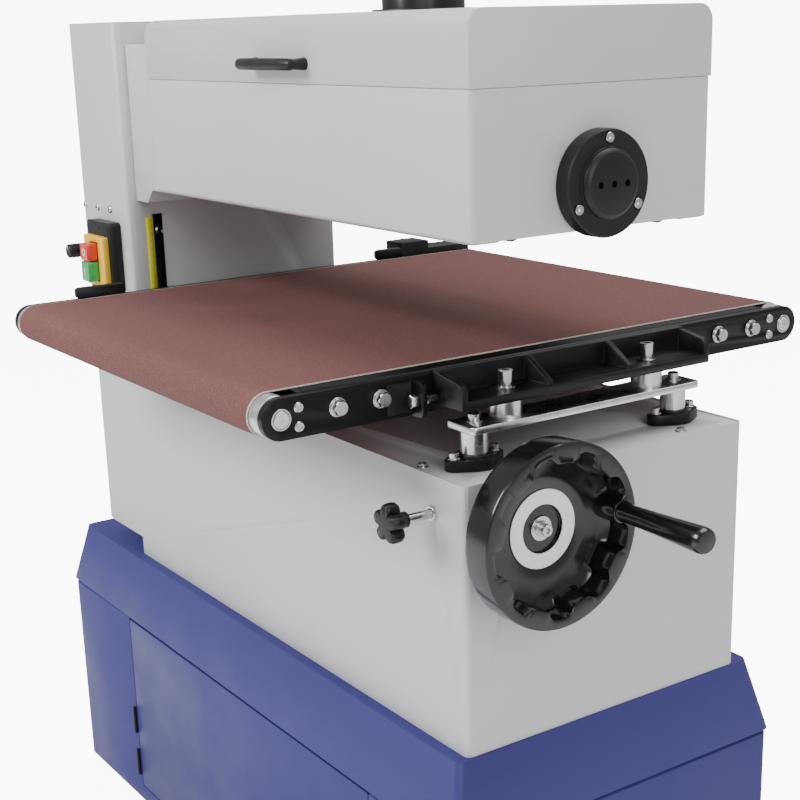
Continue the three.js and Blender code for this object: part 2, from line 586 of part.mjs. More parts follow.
function makeSupports() {
  const names = ['infeed', 'outfeed'];
  const sides = [['open_end', NEAR_POST_X, NEAR_BAR], ['column', FAR_POST_X, FAR_BAR]];
  for (const [side, x, bar] of sides) {
    const outline = roundedRect(x - 25, x + 25, CENTRE_Y - 166, CENTRE_Y + 166, 6);
    let tie = prism('z', outline, bar.bottom, bar.top, 3);
    if (side === 'open_end') {
      for (const way of [-1, 1]) {
        tie = tie.add(rod('z', 18, bar.top - 1, BRACKET.bottom - GAP, x, CENTRE_Y + way * SPACER_PITCH / 2));
      }
    }
    addPart(`tie_bar_${side}`, tie, 'steel');
    names.forEach((end, i) => {
      const y = CENTRE_Y + (2 * i - 1) * POST_PITCH / 2;
      addPart(`post_${side}_${end}`, rod('z', POST_RADIUS, YOKE.top + GAP, bar.bottom - GAP, x, y), 'steel');
      addPart(`flange_bearing_${side}_${end}`, flangeBearing(x, y), 'black_paint');
    });
  }
}

// A two-bolt flange bearing with its long axis along Y
function flangeBearing(x, y) {
  const [hub, ear, span] = [23, 10, 27];
  const lean = Math.acos((hub - ear) / span);
  const shape = new THREE.Shape();
  for (const turn of [0, Math.PI]) {
    const middle = turn + Math.PI / 2;
    const earY = y + Math.sin(middle) * span;
    shape.absarc(x, earY, ear, middle - lean, middle + lean, false);
    shape.absarc(x, y, hub, middle + lean, middle + Math.PI - lean, false);
  }
  shape.closePath();
  const plate = prism('z', shape, -0.7, 12, 3);
  const collar = rod('z', 19, 11, 15, x, y);
  return plate.add(collar).subtract(rod('z', POST_RADIUS + GAP, -5, 20, x, y));
}

// Lift: a yoke on the posts' lower ends, a lead screw, bevel gears, a jack shaft and a chain to the handwheel
function makeYoke() {
  const bars = [NEAR_POST_X, FAR_POST_X].map((x) => block(x - 17, x + 17, 37, 369, YOKE.bottom, YOKE.top));
  const beam = block(FAR_POST_X, NEAR_POST_X, CENTRE_Y - 25, CENTRE_Y + 25, YOKE.bottom, YOKE.top);
  const nut = rod('z', 20, YOKE.bottom - 12, YOKE.top + 12, LIFT_SCREW_X, CENTRE_Y, 24);
  const bore = rod('z', 10.4, YOKE.bottom - 20, YOKE.top + 20, LIFT_SCREW_X, CENTRE_Y, 24);
  addPart('lift_yoke', joined(...bars, beam, nut).subtract(bore), 'black_paint');
}

// A bevel gear whose cone apex is on the axis, one pitch radius beyond its back face at z = 0
function bevelGear(phase) {
  const [root, tip, small] = [BEVEL_RADIUS - 4.2, BEVEL_RADIUS + 2, 0.62];
  const outline = [];
  for (let i = 0; i < BEVEL_TEETH; i += 1) {
    for (const [share, radius] of [[-0.24, root], [-0.11, tip], [0.11, tip], [0.24, root]]) {
      const angle = (i + share + phase) * 2 * Math.PI / BEVEL_TEETH;
      outline.push(new THREE.Vector2(radius * Math.cos(angle), radius * Math.sin(angle)));
    }
  }
  const nose = outline.map((p) => p.clone().multiplyScalar(small));
  return loft([{ points: outline, z: 0 }, { points: nose, z: BEVEL_RADIUS * (1 - small) }]);
}

function makeLift() {
  makeYoke();
  const screwGear = bevelGear(0).translate([LIFT_SCREW_X, CENTRE_Y, JACK_Z - BEVEL_RADIUS]);
  const shoulder = JACK_Z - BEVEL_RADIUS - 3;
  const screw = joined(screwGear, rod('z', 10, JACK_Z - BEVEL_RADIUS + 1, -55, LIFT_SCREW_X, CENTRE_Y),
    rod('z', 13, shoulder, JACK_Z - BEVEL_RADIUS + 1, LIFT_SCREW_X, CENTRE_Y),
    rod('z', 8, shoulder - 9, shoulder + 1, LIFT_SCREW_X, CENTRE_Y));
  addPart('lift_screw', screw, 'steel');

  const jackGear = bevelGear(0.5).rotate([0, -90, 0])
    .translate([LIFT_SCREW_X + BEVEL_RADIUS, CENTRE_Y, JACK_Z]);
  const gearBack = LIFT_SCREW_X + BEVEL_RADIUS;
  const jack = joined(jackGear, rod('x', 7, gearBack - 1, -SHEET - GAP, CENTRE_Y, JACK_Z),
    rod('x', SPROCKET_RADIUS, CHAIN.left + 1, CHAIN.right - 1, CENTRE_Y, JACK_Z, 24));
  addPart('jack_shaft', jack, 'steel');

  const blockTop = shoulder - GAP;
  const frame = joined(block(LIFT_SCREW_X - 35, -325, CENTRE_Y - 35, CENTRE_Y + 35, BASE.bottom, blockTop),
    block(-340, -325, CENTRE_Y - 20, CENTRE_Y + 20, blockTop - 1, JACK_Z + 18))
    .subtract(rod('z', 8 + GAP, blockTop - 10, blockTop + 1, LIFT_SCREW_X, CENTRE_Y))
    .subtract(rod('x', 7 + GAP, -350, -315, CENTRE_Y, JACK_Z));
  addPart('lift_bearing_frame', frame, 'black_paint');

  const circles = [[WHEEL_Y, WHEEL_Z, SPROCKET_RADIUS], [CENTRE_Y, JACK_Z, SPROCKET_RADIUS]];
  addPart('lift_chain', loopBand(circles, GAP, CHAIN.thickness, CHAIN.left, CHAIN.right, 8), 'steel');
  const shaft = joined(rod('x', 9, CHAIN.right - 1, 29.7, WHEEL_Y, WHEEL_Z),
    rod('x', SPROCKET_RADIUS, CHAIN.left + 1, CHAIN.right - 1, WHEEL_Y, WHEEL_Z, 24));
  addPart('handwheel_shaft', shaft, 'steel');
}

// Handwheel: a deep dished wheel whose rim has finger lobes inside, with a revolving grip
function makeHandwheel() {
  const [back, front] = [WHEEL.back, WHEEL.front];
  const profile = [[0, 30], [9.3, 30], [9.3, 6], [20, 6], [22, 8], [22, back - 5], [60, back - 3], [90, back],
    [97, back], [WHEEL_RADIUS, back + 3], [WHEEL_RADIUS, front - 3], [98, front], [88, front], [87, front - 2],
    [87, back + 10], [80, back + 6], [46, back + 3], [44, back + 2], [26, back + 2], [26, back - 1],
    [0, back - 1]];
  let wheel = turned('x', profile, WHEEL_Y, WHEEL_Z, 36);
  for (let i = 0; i < WHEEL_LOBES; i += 1) {
    const angle = GRIP_TURN + i * 2 * Math.PI / WHEEL_LOBES;
    const y = WHEEL_Y + LOBE.arm * Math.cos(angle);
    const z = WHEEL_Z + LOBE.arm * Math.sin(angle);
    wheel = wheel.add(rod('x', LOBE.radius, back + 6, front - 0.5, y, z, 10));
  }
  const gripY = WHEEL_Y + GRIP_ARM * Math.cos(GRIP_TURN);
  const gripZ = WHEEL_Z + GRIP_ARM * Math.sin(GRIP_TURN);
  wheel = wheel.add(rod('x', 13, back + 4, front, gripY, gripZ, 16));
  addPart('handwheel', wheel, 'black_gloss');
  const start = front + GAP;
  const grip = [[0, start], [9, start], [9.5, start + 12], [10.5, start + 50], [12.5, GRIP_END - 25],
    [14, GRIP_END - 8], [13, GRIP_END - 2], [11, GRIP_END], [0, GRIP_END]];
  addPart('handwheel_grip', turned('x', grip, gripY, gripZ, 16), 'black_gloss');
}

// Lock knob: a five-lobed knob on a stud that reaches the near infeed post
function makeLockKnob() {
  const { front, rear, lobes, lobeRadius } = LOCK;
  let knob = rod('y', 2 * lobeRadius, front, rear, NEAR_POST_X, LOCK_Z, 24);
  for (let i = 0; i < lobes; i += 1) {
    const angle = Math.PI / 2 + i * 2 * Math.PI / lobes;
    const x = NEAR_POST_X + 2 * lobeRadius * Math.cos(angle);
    const z = LOCK_Z + 2 * lobeRadius * Math.sin(angle);
    knob = knob.add(rod('y', lobeRadius, front + 1, rear - 4, x, z, 10));
  }
  const postFace = CENTRE_Y - POST_PITCH / 2 - POST_RADIUS;
  const stud = rod('y', 5, rear + 5, postFace - GAP, NEAR_POST_X, LOCK_Z, 16);
  const collar = rod('y', 9, rear - 1, rear + 7, NEAR_POST_X, LOCK_Z, 20);
  addPart('lock_knob', joined(knob, collar, stud), 'black_plastic');
}

makeCabinet();
makeBase();
makeColumn();
makeHead();
makeCover();
makeDrum();
makeDrive();
makeControls();
makeTable();
makeBrackets();
makeSupports();
makeLift();
makeHandwheel();
makeLockKnob();

// The origin goes under the middle of the outer box, on the floor
const outerBox = new THREE.Box3().setFromObject(machine, true);
const middle = outerBox.getCenter(new THREE.Vector3());
machine.position.set(-middle.x, -middle.y, -outerBox.min.z);

const drumSander = new THREE.Group();
drumSander.add(machine);
drumSander.updateMatrixWorld(true);

export default drumSander;
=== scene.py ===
"""Looks of an open-end drum sander: fine pieces, materials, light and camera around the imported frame.

Lengths in the tables below are millimetres in the machine's own frame, whose zero is the top, front, open-end
corner of the base housing. at() turns them into metres in the row frame, from the box of that CAD node.
"""
import json
import math
import random

import bmesh
import bpy
from mathutils import Matrix, Vector

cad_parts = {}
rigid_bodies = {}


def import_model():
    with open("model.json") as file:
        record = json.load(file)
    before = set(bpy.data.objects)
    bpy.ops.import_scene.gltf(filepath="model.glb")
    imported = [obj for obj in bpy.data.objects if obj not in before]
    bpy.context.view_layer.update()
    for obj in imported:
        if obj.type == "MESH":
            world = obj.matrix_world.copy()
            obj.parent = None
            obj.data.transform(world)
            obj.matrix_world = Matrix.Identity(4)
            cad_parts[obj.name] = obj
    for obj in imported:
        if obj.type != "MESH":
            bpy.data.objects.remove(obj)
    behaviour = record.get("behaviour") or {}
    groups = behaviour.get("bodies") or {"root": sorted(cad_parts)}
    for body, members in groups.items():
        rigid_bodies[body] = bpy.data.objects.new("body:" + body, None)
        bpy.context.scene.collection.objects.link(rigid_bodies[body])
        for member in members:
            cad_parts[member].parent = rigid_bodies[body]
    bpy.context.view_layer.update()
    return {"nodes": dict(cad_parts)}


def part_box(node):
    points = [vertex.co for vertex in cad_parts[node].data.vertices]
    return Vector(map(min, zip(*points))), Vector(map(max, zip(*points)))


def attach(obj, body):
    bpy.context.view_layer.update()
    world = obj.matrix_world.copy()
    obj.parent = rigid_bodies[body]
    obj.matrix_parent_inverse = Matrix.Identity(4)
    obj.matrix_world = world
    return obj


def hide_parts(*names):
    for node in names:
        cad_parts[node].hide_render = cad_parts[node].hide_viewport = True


for leftover in list(bpy.data.objects):
    bpy.data.objects.remove(leftover)
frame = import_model()

MM = 0.001
BASE_LO, BASE_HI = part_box("base_housing")
ZERO = Vector((BASE_HI.x, BASE_LO.y, BASE_HI.z))
AXES = {"x": (1, 2, 0), "y": (2, 0, 1), "z": (0, 1, 2)}


def at(x, y, z):
    """A point of the machine's frame, in millimetres, as a point of the row frame in metres."""
    return ZERO + Vector((x, y, z)) * MM


def local(node):
    """A CAD node's lowest and highest corners in the machine's frame, in millimetres."""
    low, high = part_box(node)
    return (low - ZERO) / MM, (high - ZERO) / MM


# ---------------------------------------------------------------- camera

CAMERA_PLACE = (1153, -847, 455)
CAMERA_ANGLES = (55.73, 16.17, -1.54)  # azimuth from the front, elevation and roll, in degrees
CAMERA_LENS = 66.06
CAMERA_SHIFT = (-0.016, 0.064)


def make_camera():
    """A camera that looks down on the open end, from the right of the infeed side."""
    data = bpy.data.cameras.new("view")
    data.lens = CAMERA_LENS
    data.sensor_width = 36
    data.shift_x, data.shift_y = CAMERA_SHIFT
    data.clip_end = 60
    camera = bpy.data.objects.new("view", data)
    bpy.context.scene.collection.objects.link(camera)
    azimuth, elevation, roll = (math.radians(a) for a in CAMERA_ANGLES)
    back = Vector((math.sin(azimuth) * math.cos(elevation), -math.cos(azimuth) * math.cos(elevation),
                   math.sin(elevation)))
    right = Vector((0, 0, 1)).cross(back).normalized()
    up = back.cross(right)
    rolled_right = right * math.cos(roll) + up * math.sin(roll)
    rolled_up = up * math.cos(roll) - right * math.sin(roll)
    turn = Matrix((rolled_right, rolled_up, back)).transposed()
    camera.matrix_world = Matrix.Translation(at(*CAMERA_PLACE)) @ turn.to_4x4()
    bpy.context.scene.camera = camera


make_camera()


# ---------------------------------------------------------------- materials

def noise(tree, vector, scale, detail=3.0, roughness=0.55):
    node = tree.nodes.new("ShaderNodeTexNoise")
    node.inputs["Scale"].default_value = scale
    node.inputs["Detail"].default_value = detail
    node.inputs["Roughness"].default_value = roughness
    tree.links.new(vector, node.inputs["Vector"])
    return node.outputs["Fac"]


def ranged(tree, value, low, high, start=0.3, stop=0.7):
    node = tree.nodes.new("ShaderNodeMapRange")
    node.inputs["From Min"].default_value = start
    node.inputs["From Max"].default_value = stop
    node.inputs["To Min"].default_value = low
    node.inputs["To Max"].default_value = high
    tree.links.new(value, node.inputs["Value"])
    return node.outputs["Result"]


def mixed(tree, factor, first, second):
    node = tree.nodes.new("ShaderNodeMix")
    node.data_type = "RGBA"
    tree.links.new(factor, node.inputs[0])
    for index, colour in ((6, first), (7, second)):
        if isinstance(colour, tuple):
            node.inputs[index].default_value = (*colour, 1)
        else:
            tree.links.new(colour, node.inputs[index])
    return node.outputs[2]


def scaled(colour, factor):
    return tuple(min(1.0, c * factor) for c in colour)


def look(name, colour, rough, metal=0.0, tone=0.06, patch=9.0, bump=(900.0, 0.06), stretch=(1, 1, 1),
         speckle=None, coat=0.0, specular=0.5):
    """A Principled material whose colour, roughness and surface vary.

    tone is how far the colour moves, patch the scale of its clouds, bump the scale and depth of the fine
    texture, stretch its direction and speckle (scale, colour, share) small spots.
    """
    material = bpy.data.materials.new(name)
    material.use_nodes = True
    tree = material.node_tree
    tree.nodes.clear()
    output = tree.nodes.new("ShaderNodeOutputMaterial")
    shader = tree.nodes.new("ShaderNodeBsdfPrincipled")
    tree.links.new(shader.outputs["BSDF"], output.inputs["Surface"])
    shader.inputs["Metallic"].default_value = metal
    shader.inputs["Specular IOR Level"].default_value = specular
    shader.inputs["Coat Weight"].default_value = coat
    shader.inputs["Coat Roughness"].default_value = 0.12
    place = tree.nodes.new("ShaderNodeTexCoord").outputs["Object"]
    mapping = tree.nodes.new("ShaderNodeMapping")
    mapping.inputs["Scale"].default_value = stretch
    tree.links.new(place, mapping.inputs["Vector"])
    fine = noise(tree, mapping.outputs["Vector"], bump[0], 4.0)
    clouds = noise(tree, place, patch, 5.0)
    spread = ranged(tree, clouds, 0.0, 1.0)
    tint = mixed(tree, spread, scaled(colour, 1 - tone), scaled(colour, 1 + tone))
    grain = ranged(tree, fine, 0.0, 1.0)
    tint = mixed(tree, ranged(tree, fine, 0.0, tone * 2), tint, scaled(colour, 0.55))
    if speckle:
        spots = tree.nodes.new("ShaderNodeTexVoronoi")
        spots.inputs["Scale"].default_value = speckle[0]
        tree.links.new(place, spots.inputs["Vector"])
        share = ranged(tree, spots.outputs["Distance"], 1.0, 0.0, speckle[2] * 0.5, speckle[2])
        tint = mixed(tree, share, tint, speckle[1])
    tree.links.new(tint, shader.inputs["Base Color"])
    tree.links.new(ranged(tree, clouds, rough * 0.85, min(1.0, rough * 1.18)), shader.inputs["Roughness"])
    raised = tree.nodes.new("ShaderNodeBump")
    raised.inputs["Strength"].default_value = 1.0
    raised.inputs["Distance"].default_value = bump[1] * MM
    tree.links.new(grain, raised.inputs["Height"])
    tree.links.new(raised.outputs["Normal"], shader.inputs["Normal"])
    return material


GREY = (0.50, 0.505, 0.51)
LOOKS = {
    "grey": look("grey_powder_coat", GREY, 0.42, tone=0.015, bump=(1100.0, 0.012)),
    "blue": look("blue_powder_coat", (0.030, 0.027, 0.150), 0.50, tone=0.03, bump=(1000.0, 0.014),
                 specular=0.35),
    "black": look("black_satin_paint", (0.005, 0.005, 0.0055), 0.32, tone=0.15, bump=(900.0, 0.015),
                  specular=0.2),
    "cast": look("black_painted_casting", (0.006, 0.006, 0.0065), 0.42, tone=0.16, patch=30.0,
                 bump=(420.0, 0.10), specular=0.26),
    "gloss": look("black_moulding", (0.005, 0.005, 0.0055), 0.17, tone=0.1, patch=14.0, bump=(160.0, 0.012),
                  coat=0.15),
    "plastic": look("black_plastic", (0.008, 0.008, 0.0085), 0.40, tone=0.12, bump=(1300.0, 0.02),
                    specular=0.32),
    "zinc": look("zinc_plate", (0.80, 0.795, 0.78), 0.30, metal=1.0, tone=0.10, patch=55.0,
                 bump=(260.0, 0.02), stretch=(1, 0.15, 1)),
    "turned": look("turned_steel", (0.76, 0.755, 0.74), 0.26, metal=1.0, tone=0.08, patch=40.0,
                   bump=(900.0, 0.012), stretch=(0.05, 0.05, 1)),
    "bolt": look("plated_fasteners", (0.60, 0.595, 0.58), 0.22, metal=1.0, tone=0.09, patch=160.0,
                 bump=(700.0, 0.012)),
    "alloy": look("turned_aluminium", (0.74, 0.745, 0.75), 0.30, metal=1.0, tone=0.05, patch=50.0,
                  bump=(1400.0, 0.01), stretch=(1, 0.04, 0.04)),
    "abrasive": look("coated_abrasive_cloth", (0.140, 0.060, 0.057), 0.88, tone=0.10, patch=6.0,
                     bump=(420.0, 0.20), speckle=(520.0, (0.40, 0.24, 0.22), 0.20), specular=0.25),
    "paper": look("abrasive_wrap", (0.13, 0.052, 0.045), 0.88, tone=0.12, patch=12.0, bump=(1400.0, 0.15),
                  speckle=(900.0, (0.28, 0.15, 0.13), 0.16), specular=0.25),
    "thread": look("frayed_cloth_edge", (0.62, 0.56, 0.50), 0.9, tone=0.25, patch=300.0,
                   bump=(1500.0, 0.2)),
    "rubber": look("black_rubber", (0.022, 0.022, 0.023), 0.62, tone=0.12, bump=(1100.0, 0.05)),
    "yellow": look("yellow_plastic", (0.78, 0.47, 0.03), 0.38, tone=0.05, bump=(1300.0, 0.015)),
    "scale": look("yellow_scale", (0.62, 0.60, 0.03), 0.42, tone=0.06, bump=(900.0, 0.01)),
    "red": look("red_plastic", (0.66, 0.045, 0.03), 0.28, tone=0.05, bump=(900.0, 0.012), coat=0.4),
    "green": look("green_plastic", (0.035, 0.36, 0.10), 0.28, tone=0.05, bump=(900.0, 0.012), coat=0.4),
    "ring": look("pale_grey_ring", (0.86, 0.87, 0.87), 0.45, tone=0.04, patch=70.0, bump=(1100.0, 0.02)),
    "ink": look("dark_marks", (0.02, 0.02, 0.02), 0.5, tone=0.1, bump=(900.0, 0.01)),
    "white": look("white_marks", (0.80, 0.80, 0.78), 0.45, tone=0.03, bump=(900.0, 0.01)),
}


# ---------------------------------------------------------------- edges and shading

def new_group(name):
    group = bpy.data.node_groups.new(name, "GeometryNodeTree")
    group.interface.new_socket("Geometry", in_out="INPUT", socket_type="NodeSocketGeometry")
    group.interface.new_socket("Geometry", in_out="OUTPUT", socket_type="NodeSocketGeometry")
    return group, group.nodes.new("NodeGroupInput"), group.nodes.new("NodeGroupOutput")


def weld_group():
    """Drops the imported normals and joins the vertices that the faces share."""
    group, start, end = new_group("weld_faces")
    plain = group.nodes.new("GeometryNodeRemoveAttribute")
    plain.inputs["Name"].default_value = "custom_normal"
    merge = group.nodes.new("GeometryNodeMergeByDistance")
    merge.inputs["Distance"].default_value = 0.00002
    group.links.new(start.outputs[0], plain.inputs[0])
    group.links.new(plain.outputs[0], merge.inputs["Geometry"])
    group.links.new(merge.outputs[0], end.inputs[0])
    return group


def shade_group(degrees):
    """Smooth faces, with a crease where they meet at more than this angle."""
    group, start, end = new_group(f"shade_{degrees}")
    faces = group.nodes.new("GeometryNodeSetShadeSmooth")
    creases = group.nodes.new("GeometryNodeSetShadeSmooth")
    creases.domain = "EDGE"
    creases.inputs["Shade Smooth"].default_value = False
    angle = group.nodes.new("GeometryNodeInputMeshEdgeAngle")
    sharp = group.nodes.new("FunctionNodeCompare")
    sharp.data_type = "FLOAT"
    sharp.operation = "GREATER_THAN"
    sharp.inputs[1].default_value = math.radians(degrees)
    group.links.new(angle.outputs[0], sharp.inputs[0])
    group.links.new(start.outputs[0], faces.inputs[0])
    group.links.new(faces.outputs[0], creases.inputs[0])
    group.links.new(sharp.outputs[0], creases.inputs["Selection"])
    group.links.new(creases.outputs[0], end.inputs[0])
    return group


WELD = weld_group()
SHADE = shade_group(32)


def add_nodes(obj, group):
    obj.modifiers.new(group.name, "NODES").node_group = group


def soften(obj, width, segments=2):
    """Rounded edges of that width in millimetres, then smooth shading."""
    if width:
        bevel = obj.modifiers.new("round_edges", "BEVEL")
        bevel.width = width * MM
        bevel.segments = segments
        bevel.limit_method = "ANGLE"
        bevel.angle_limit = math.radians(38)
        bevel.harden_normals = True
    add_nodes(obj, SHADE)


def finish_node(name, finish, width=0.6, segments=2):
    """A CAD node keeps its shape and gets rounded edges and a material."""
    obj = frame["nodes"][name]
    add_nodes(obj, WELD)
    flat = obj.modifiers.new("join_flat_faces", "DECIMATE")
    flat.decimate_type = "DISSOLVE"
    flat.angle_limit = math.radians(0.4)
    soften(obj, width, segments)
    for slot in obj.material_slots:
        slot.material = LOOKS[finish]


# ---------------------------------------------------------------- mesh code

def make_object(name, mesh_data, finish, body, width=0.0, segments=2, replaces=()):
    """Turns a bmesh into a piece that rides a body and has a material slot."""
    mesh = bpy.data.meshes.new(name)
    mesh_data.to_mesh(mesh)
    mesh_data.free()
    obj = bpy.data.objects.new(name, mesh)
    bpy.context.scene.collection.objects.link(obj)
    mesh.materials.append(LOOKS[finish])
    soften(obj, width, segments)
    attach(obj, body)
    if replaces:
        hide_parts(*replaces)
    return obj


def hexagon(angle):
    """Radius of a hexagon whose corners are at 1."""
    return math.cos(math.pi / 6) / math.cos(angle % (math.pi / 3) - math.pi / 6)


def revolve(bm, axis, centre, rings, sides=24):
    """Adds rings around an axis. A ring is (radius, distance[, shape]), and shape gives the radius by angle.

    centre is a point in millimetres that the distances count from. Radius 0 is one point. A profile whose
    last ring equals its first closes on itself; others end on the axis or in a flat face.
    """
    u, v, w = AXES[axis]
    closed = rings[0] == rings[-1]
    loops = []
    for ring in rings[:-1] if closed else rings:
        radius, along = ring[0], ring[1]
        shape = ring[2] if len(ring) > 2 else None
        loop = []
        for k in range(1 if radius == 0 else sides):
            angle = 2 * math.pi * k / sides
            reach = radius * (shape(angle) if shape else 1.0)
            point = [0.0, 0.0, 0.0]
            point[u] = centre[u] + reach * math.cos(angle)
            point[v] = centre[v] + reach * math.sin(angle)
            point[w] = centre[w] + along
            loop.append(bm.verts.new(at(*point)))
        loops.append(loop)
    pairs = list(zip(loops, loops[1:])) + ([(loops[-1], loops[0])] if closed else [])
    for low, high in pairs:
        for k in range(sides):
            n = (k + 1) % sides
            corners = [low[k % len(low)], low[n % len(low)], high[n % len(high)], high[k % len(high)]]
            face = list(dict.fromkeys(corners))
            if len(face) > 2:
                bm.faces.new(face)
    if not closed:
        for loop in (loops[0], loops[-1]):
            if len(loop) > 1:
                bm.faces.new(loop)
    bmesh.ops.recalc_face_normals(bm, faces=bm.faces)


def slab(bm, axis, outline, low, high):
    """Adds a straight prism of an outline in the two other axes, in X, Y, Z order."""
    w = AXES[axis][2]
    others = [i for i in range(3) if i != w]
    ends = []
    for along in (low, high):
        loop = []
        for a, b in outline:
            point = [0.0, 0.0, 0.0]
            point[others[0]], point[others[1]], point[w] = a, b, along
            loop.append(bm.verts.new(at(*point)))
        ends.append(loop)
        bm.faces.new(loop)
    count = len(outline)
    for k in range(count):
        n = (k + 1) % count
        bm.faces.new([ends[0][k], ends[0][n], ends[1][n], ends[1][k]])
    bmesh.ops.recalc_face_normals(bm, faces=bm.faces)


def rounded(a0, a1, b0, b1, radius, steps=5):
    """Outline of a rectangle with round corners."""
    points = []
    for corner, (a, b) in enumerate(((a1 - radius, b0 + radius), (a1 - radius, b1 - radius),
                                     (a0 + radius, b1 - radius), (a0 + radius, b0 + radius))):
        for k in range(steps + 1):
            angle = math.pi / 2 * (corner - 1 + k / steps)
            points.append((a + radius * math.cos(angle), b + radius * math.sin(angle)))
    return points


def washer(bm, axis, seat, way, radius, bore, thick):
    """A washer whose underside is at seat; way is the side its face looks to."""
    revolve(bm, axis, seat, [(bore, 0), (radius - 0.3, 0), (radius, 0.3 * way), (radius, (thick - 0.3) * way),
                             (radius - 0.3, thick * way), (bore, thick * way), (bore, 0)], 28)


def hex_head(bm, axis, seat, way, across, height, base=0.0):
    """A hexagon head with chamfered corners; across is the width over its corners."""
    corner = across / 2
    flat = corner * math.cos(math.pi / 6)
    start = 0.0
    if base:
        revolve(bm, axis, seat, [(0, 0), (base, 0), (base, 0.8 * way), (corner * 1.02, 1.5 * way),
                                 (0, 1.5 * way)], 36)
        start = 1.3
    revolve(bm, axis, seat, [(0, start * way), (corner, start * way, hexagon),
                             (corner, (height - 1.1) * way, hexagon),
                             (flat * 0.98, height * way), (0, height * way)], 36)


def socket_head(bm, axis, seat, way, radius, height, dome=0.0):
    """A cylinder or button head with a hexagon socket."""
    key = radius * 0.55
    top = height * way
    shoulder = (height - max(0.6, dome)) * way
    revolve(bm, axis, seat, [(0, 0), (radius, 0), (radius, shoulder), (radius - max(0.5, dome * 0.8), top),
                             (key, top, hexagon), (key, top - height * 0.5 * way, hexagon),
                             (0, top - height * 0.55 * way)], 36)


def fasteners(name, body, build, finish="bolt"):
    """One piece from whatever build adds to an empty mesh."""
    bm = bmesh.new()
    build(bm)
    return make_object(name, bm, finish, body)


# ---------------------------------------------------------------- conveyor

RAIL_LO, RAIL_HI = local("side_rail_open_end")
RAIL_FACE = RAIL_HI.x - 22
BELT_LO, BELT_HI = local("conveyor_belt")
ROLLER_Z = (RAIL_LO.z + RAIL_HI.z) / 2
BELT_RADIUS = (BELT_HI.z - BELT_LO.z) / 2
ROLLER_FRONT = BELT_LO.y + BELT_RADIUS
ROLLER_REAR = BELT_HI.y - BELT_RADIUS


def loop_points(radius, arc=28, run=40):
    """Points of the belt's loop in the Y-Z plane, once around."""
    points = []
    for k in range(run):
        points.append((ROLLER_REAR + (ROLLER_FRONT - ROLLER_REAR) * k / run, ROLLER_Z + radius))
    for k in range(arc):
        angle = math.pi / 2 + math.pi * k / arc
        points.append((ROLLER_FRONT + radius * math.cos(angle), ROLLER_Z + radius * math.sin(angle)))
    for k in range(run):
        points.append((ROLLER_FRONT + (ROLLER_REAR - ROLLER_FRONT) * k / run, ROLLER_Z - radius))
    for k in range(arc):
        angle = -math.pi / 2 + math.pi * k / arc
        points.append((ROLLER_REAR + radius * math.cos(angle), ROLLER_Z + radius * math.sin(angle)))
    return points


def band(bm, inner, outer, rows):
    """A closed band between two radii. rows(k) gives the x of its two edges at point k."""
    low, high = loop_points(inner), loop_points(outer)
    count = len(low)
    verts = []
    for k in range(count):
        left, right = rows(k)
        verts.append([bm.verts.new(at(x, *p)) for x, p in
                      ((left, low[k]), (right, low[k]), (right, high[k]), (left, high[k]))])
    for k in range(count):
        n = (k + 1) % count
        for j in range(4):
            m = (j + 1) % 4
            bm.faces.new([verts[k][j], verts[k][m], verts[n][m], verts[n][j]])
    bmesh.ops.recalc_face_normals(bm, faces=bm.faces)


def make_belt():
    """The abrasive belt stretched on its rollers, with a thin frayed band along each edge."""
    bm = bmesh.new()
    band(bm, BELT_RADIUS - 1.3, BELT_RADIUS, lambda _: (BELT_LO.x + 1.5, BELT_HI.x - 1.5))
    belt = make_object("abrasive_conveyor_belt", bm, "abrasive", "table", replaces=["conveyor_belt"])
    for name, edge, way, seed in (("belt_edge_open_end", BELT_HI.x, -1, 3),
                                  ("belt_edge_column", BELT_LO.x, 1, 8)):
        chance = random.Random(seed)
        bm = bmesh.new()
        frayed = [edge + way * chance.uniform(0.0, 0.9) for _ in loop_points(1)]
        band(bm, BELT_RADIUS - 1.25, BELT_RADIUS + 0.12,
             lambda k: tuple(sorted((frayed[k], edge + way * 1.55))))
        make_object(name, bm, "thread", "table")


RAIL_BOLTS_Y = (-95, -42, 450.5, 507.4)
RAIL_BOLT_Z = 84.5
TIP_SCREWS_Y = (-140.7, 540)


def make_rail_bolts():
    """Hexagon bolts on both rails, and pairs of small screws beside the rollers of the open end."""
    z = RAIL_BOLT_Z

    def build(bm):
        for y in RAIL_BOLTS_Y:
            washer(bm, "x", (RAIL_FACE, y, z), 1, 10.4, 4.2, 1.8)
            hex_head(bm, "x", (RAIL_FACE + 1.8, y, z), 1, 17, 7.6, 9.4)
    fasteners("rail_bolts", "table", build)

    def build_small(bm):
        for y in TIP_SCREWS_Y:
            for dz in (-10, 10):
                socket_head(bm, "x", (RAIL_FACE, y, ROLLER_Z + dz), 1, 5.6, 3.0, 1.4)
    fasteners("rail_tip_screws", "table", build_small)

    def build_far(bm):
        low, _ = local("side_rail_column")
        for y in RAIL_BOLTS_Y[:3]:
            washer(bm, "x", (low.x, y, ROLLER_Z), -1, 10, 4.2, 1.6)
            hex_head(bm, "x", (low.x - 1.6, y, ROLLER_Z), -1, 15, 5.6)
    fasteners("rail_bolts_column", "table", build_far)


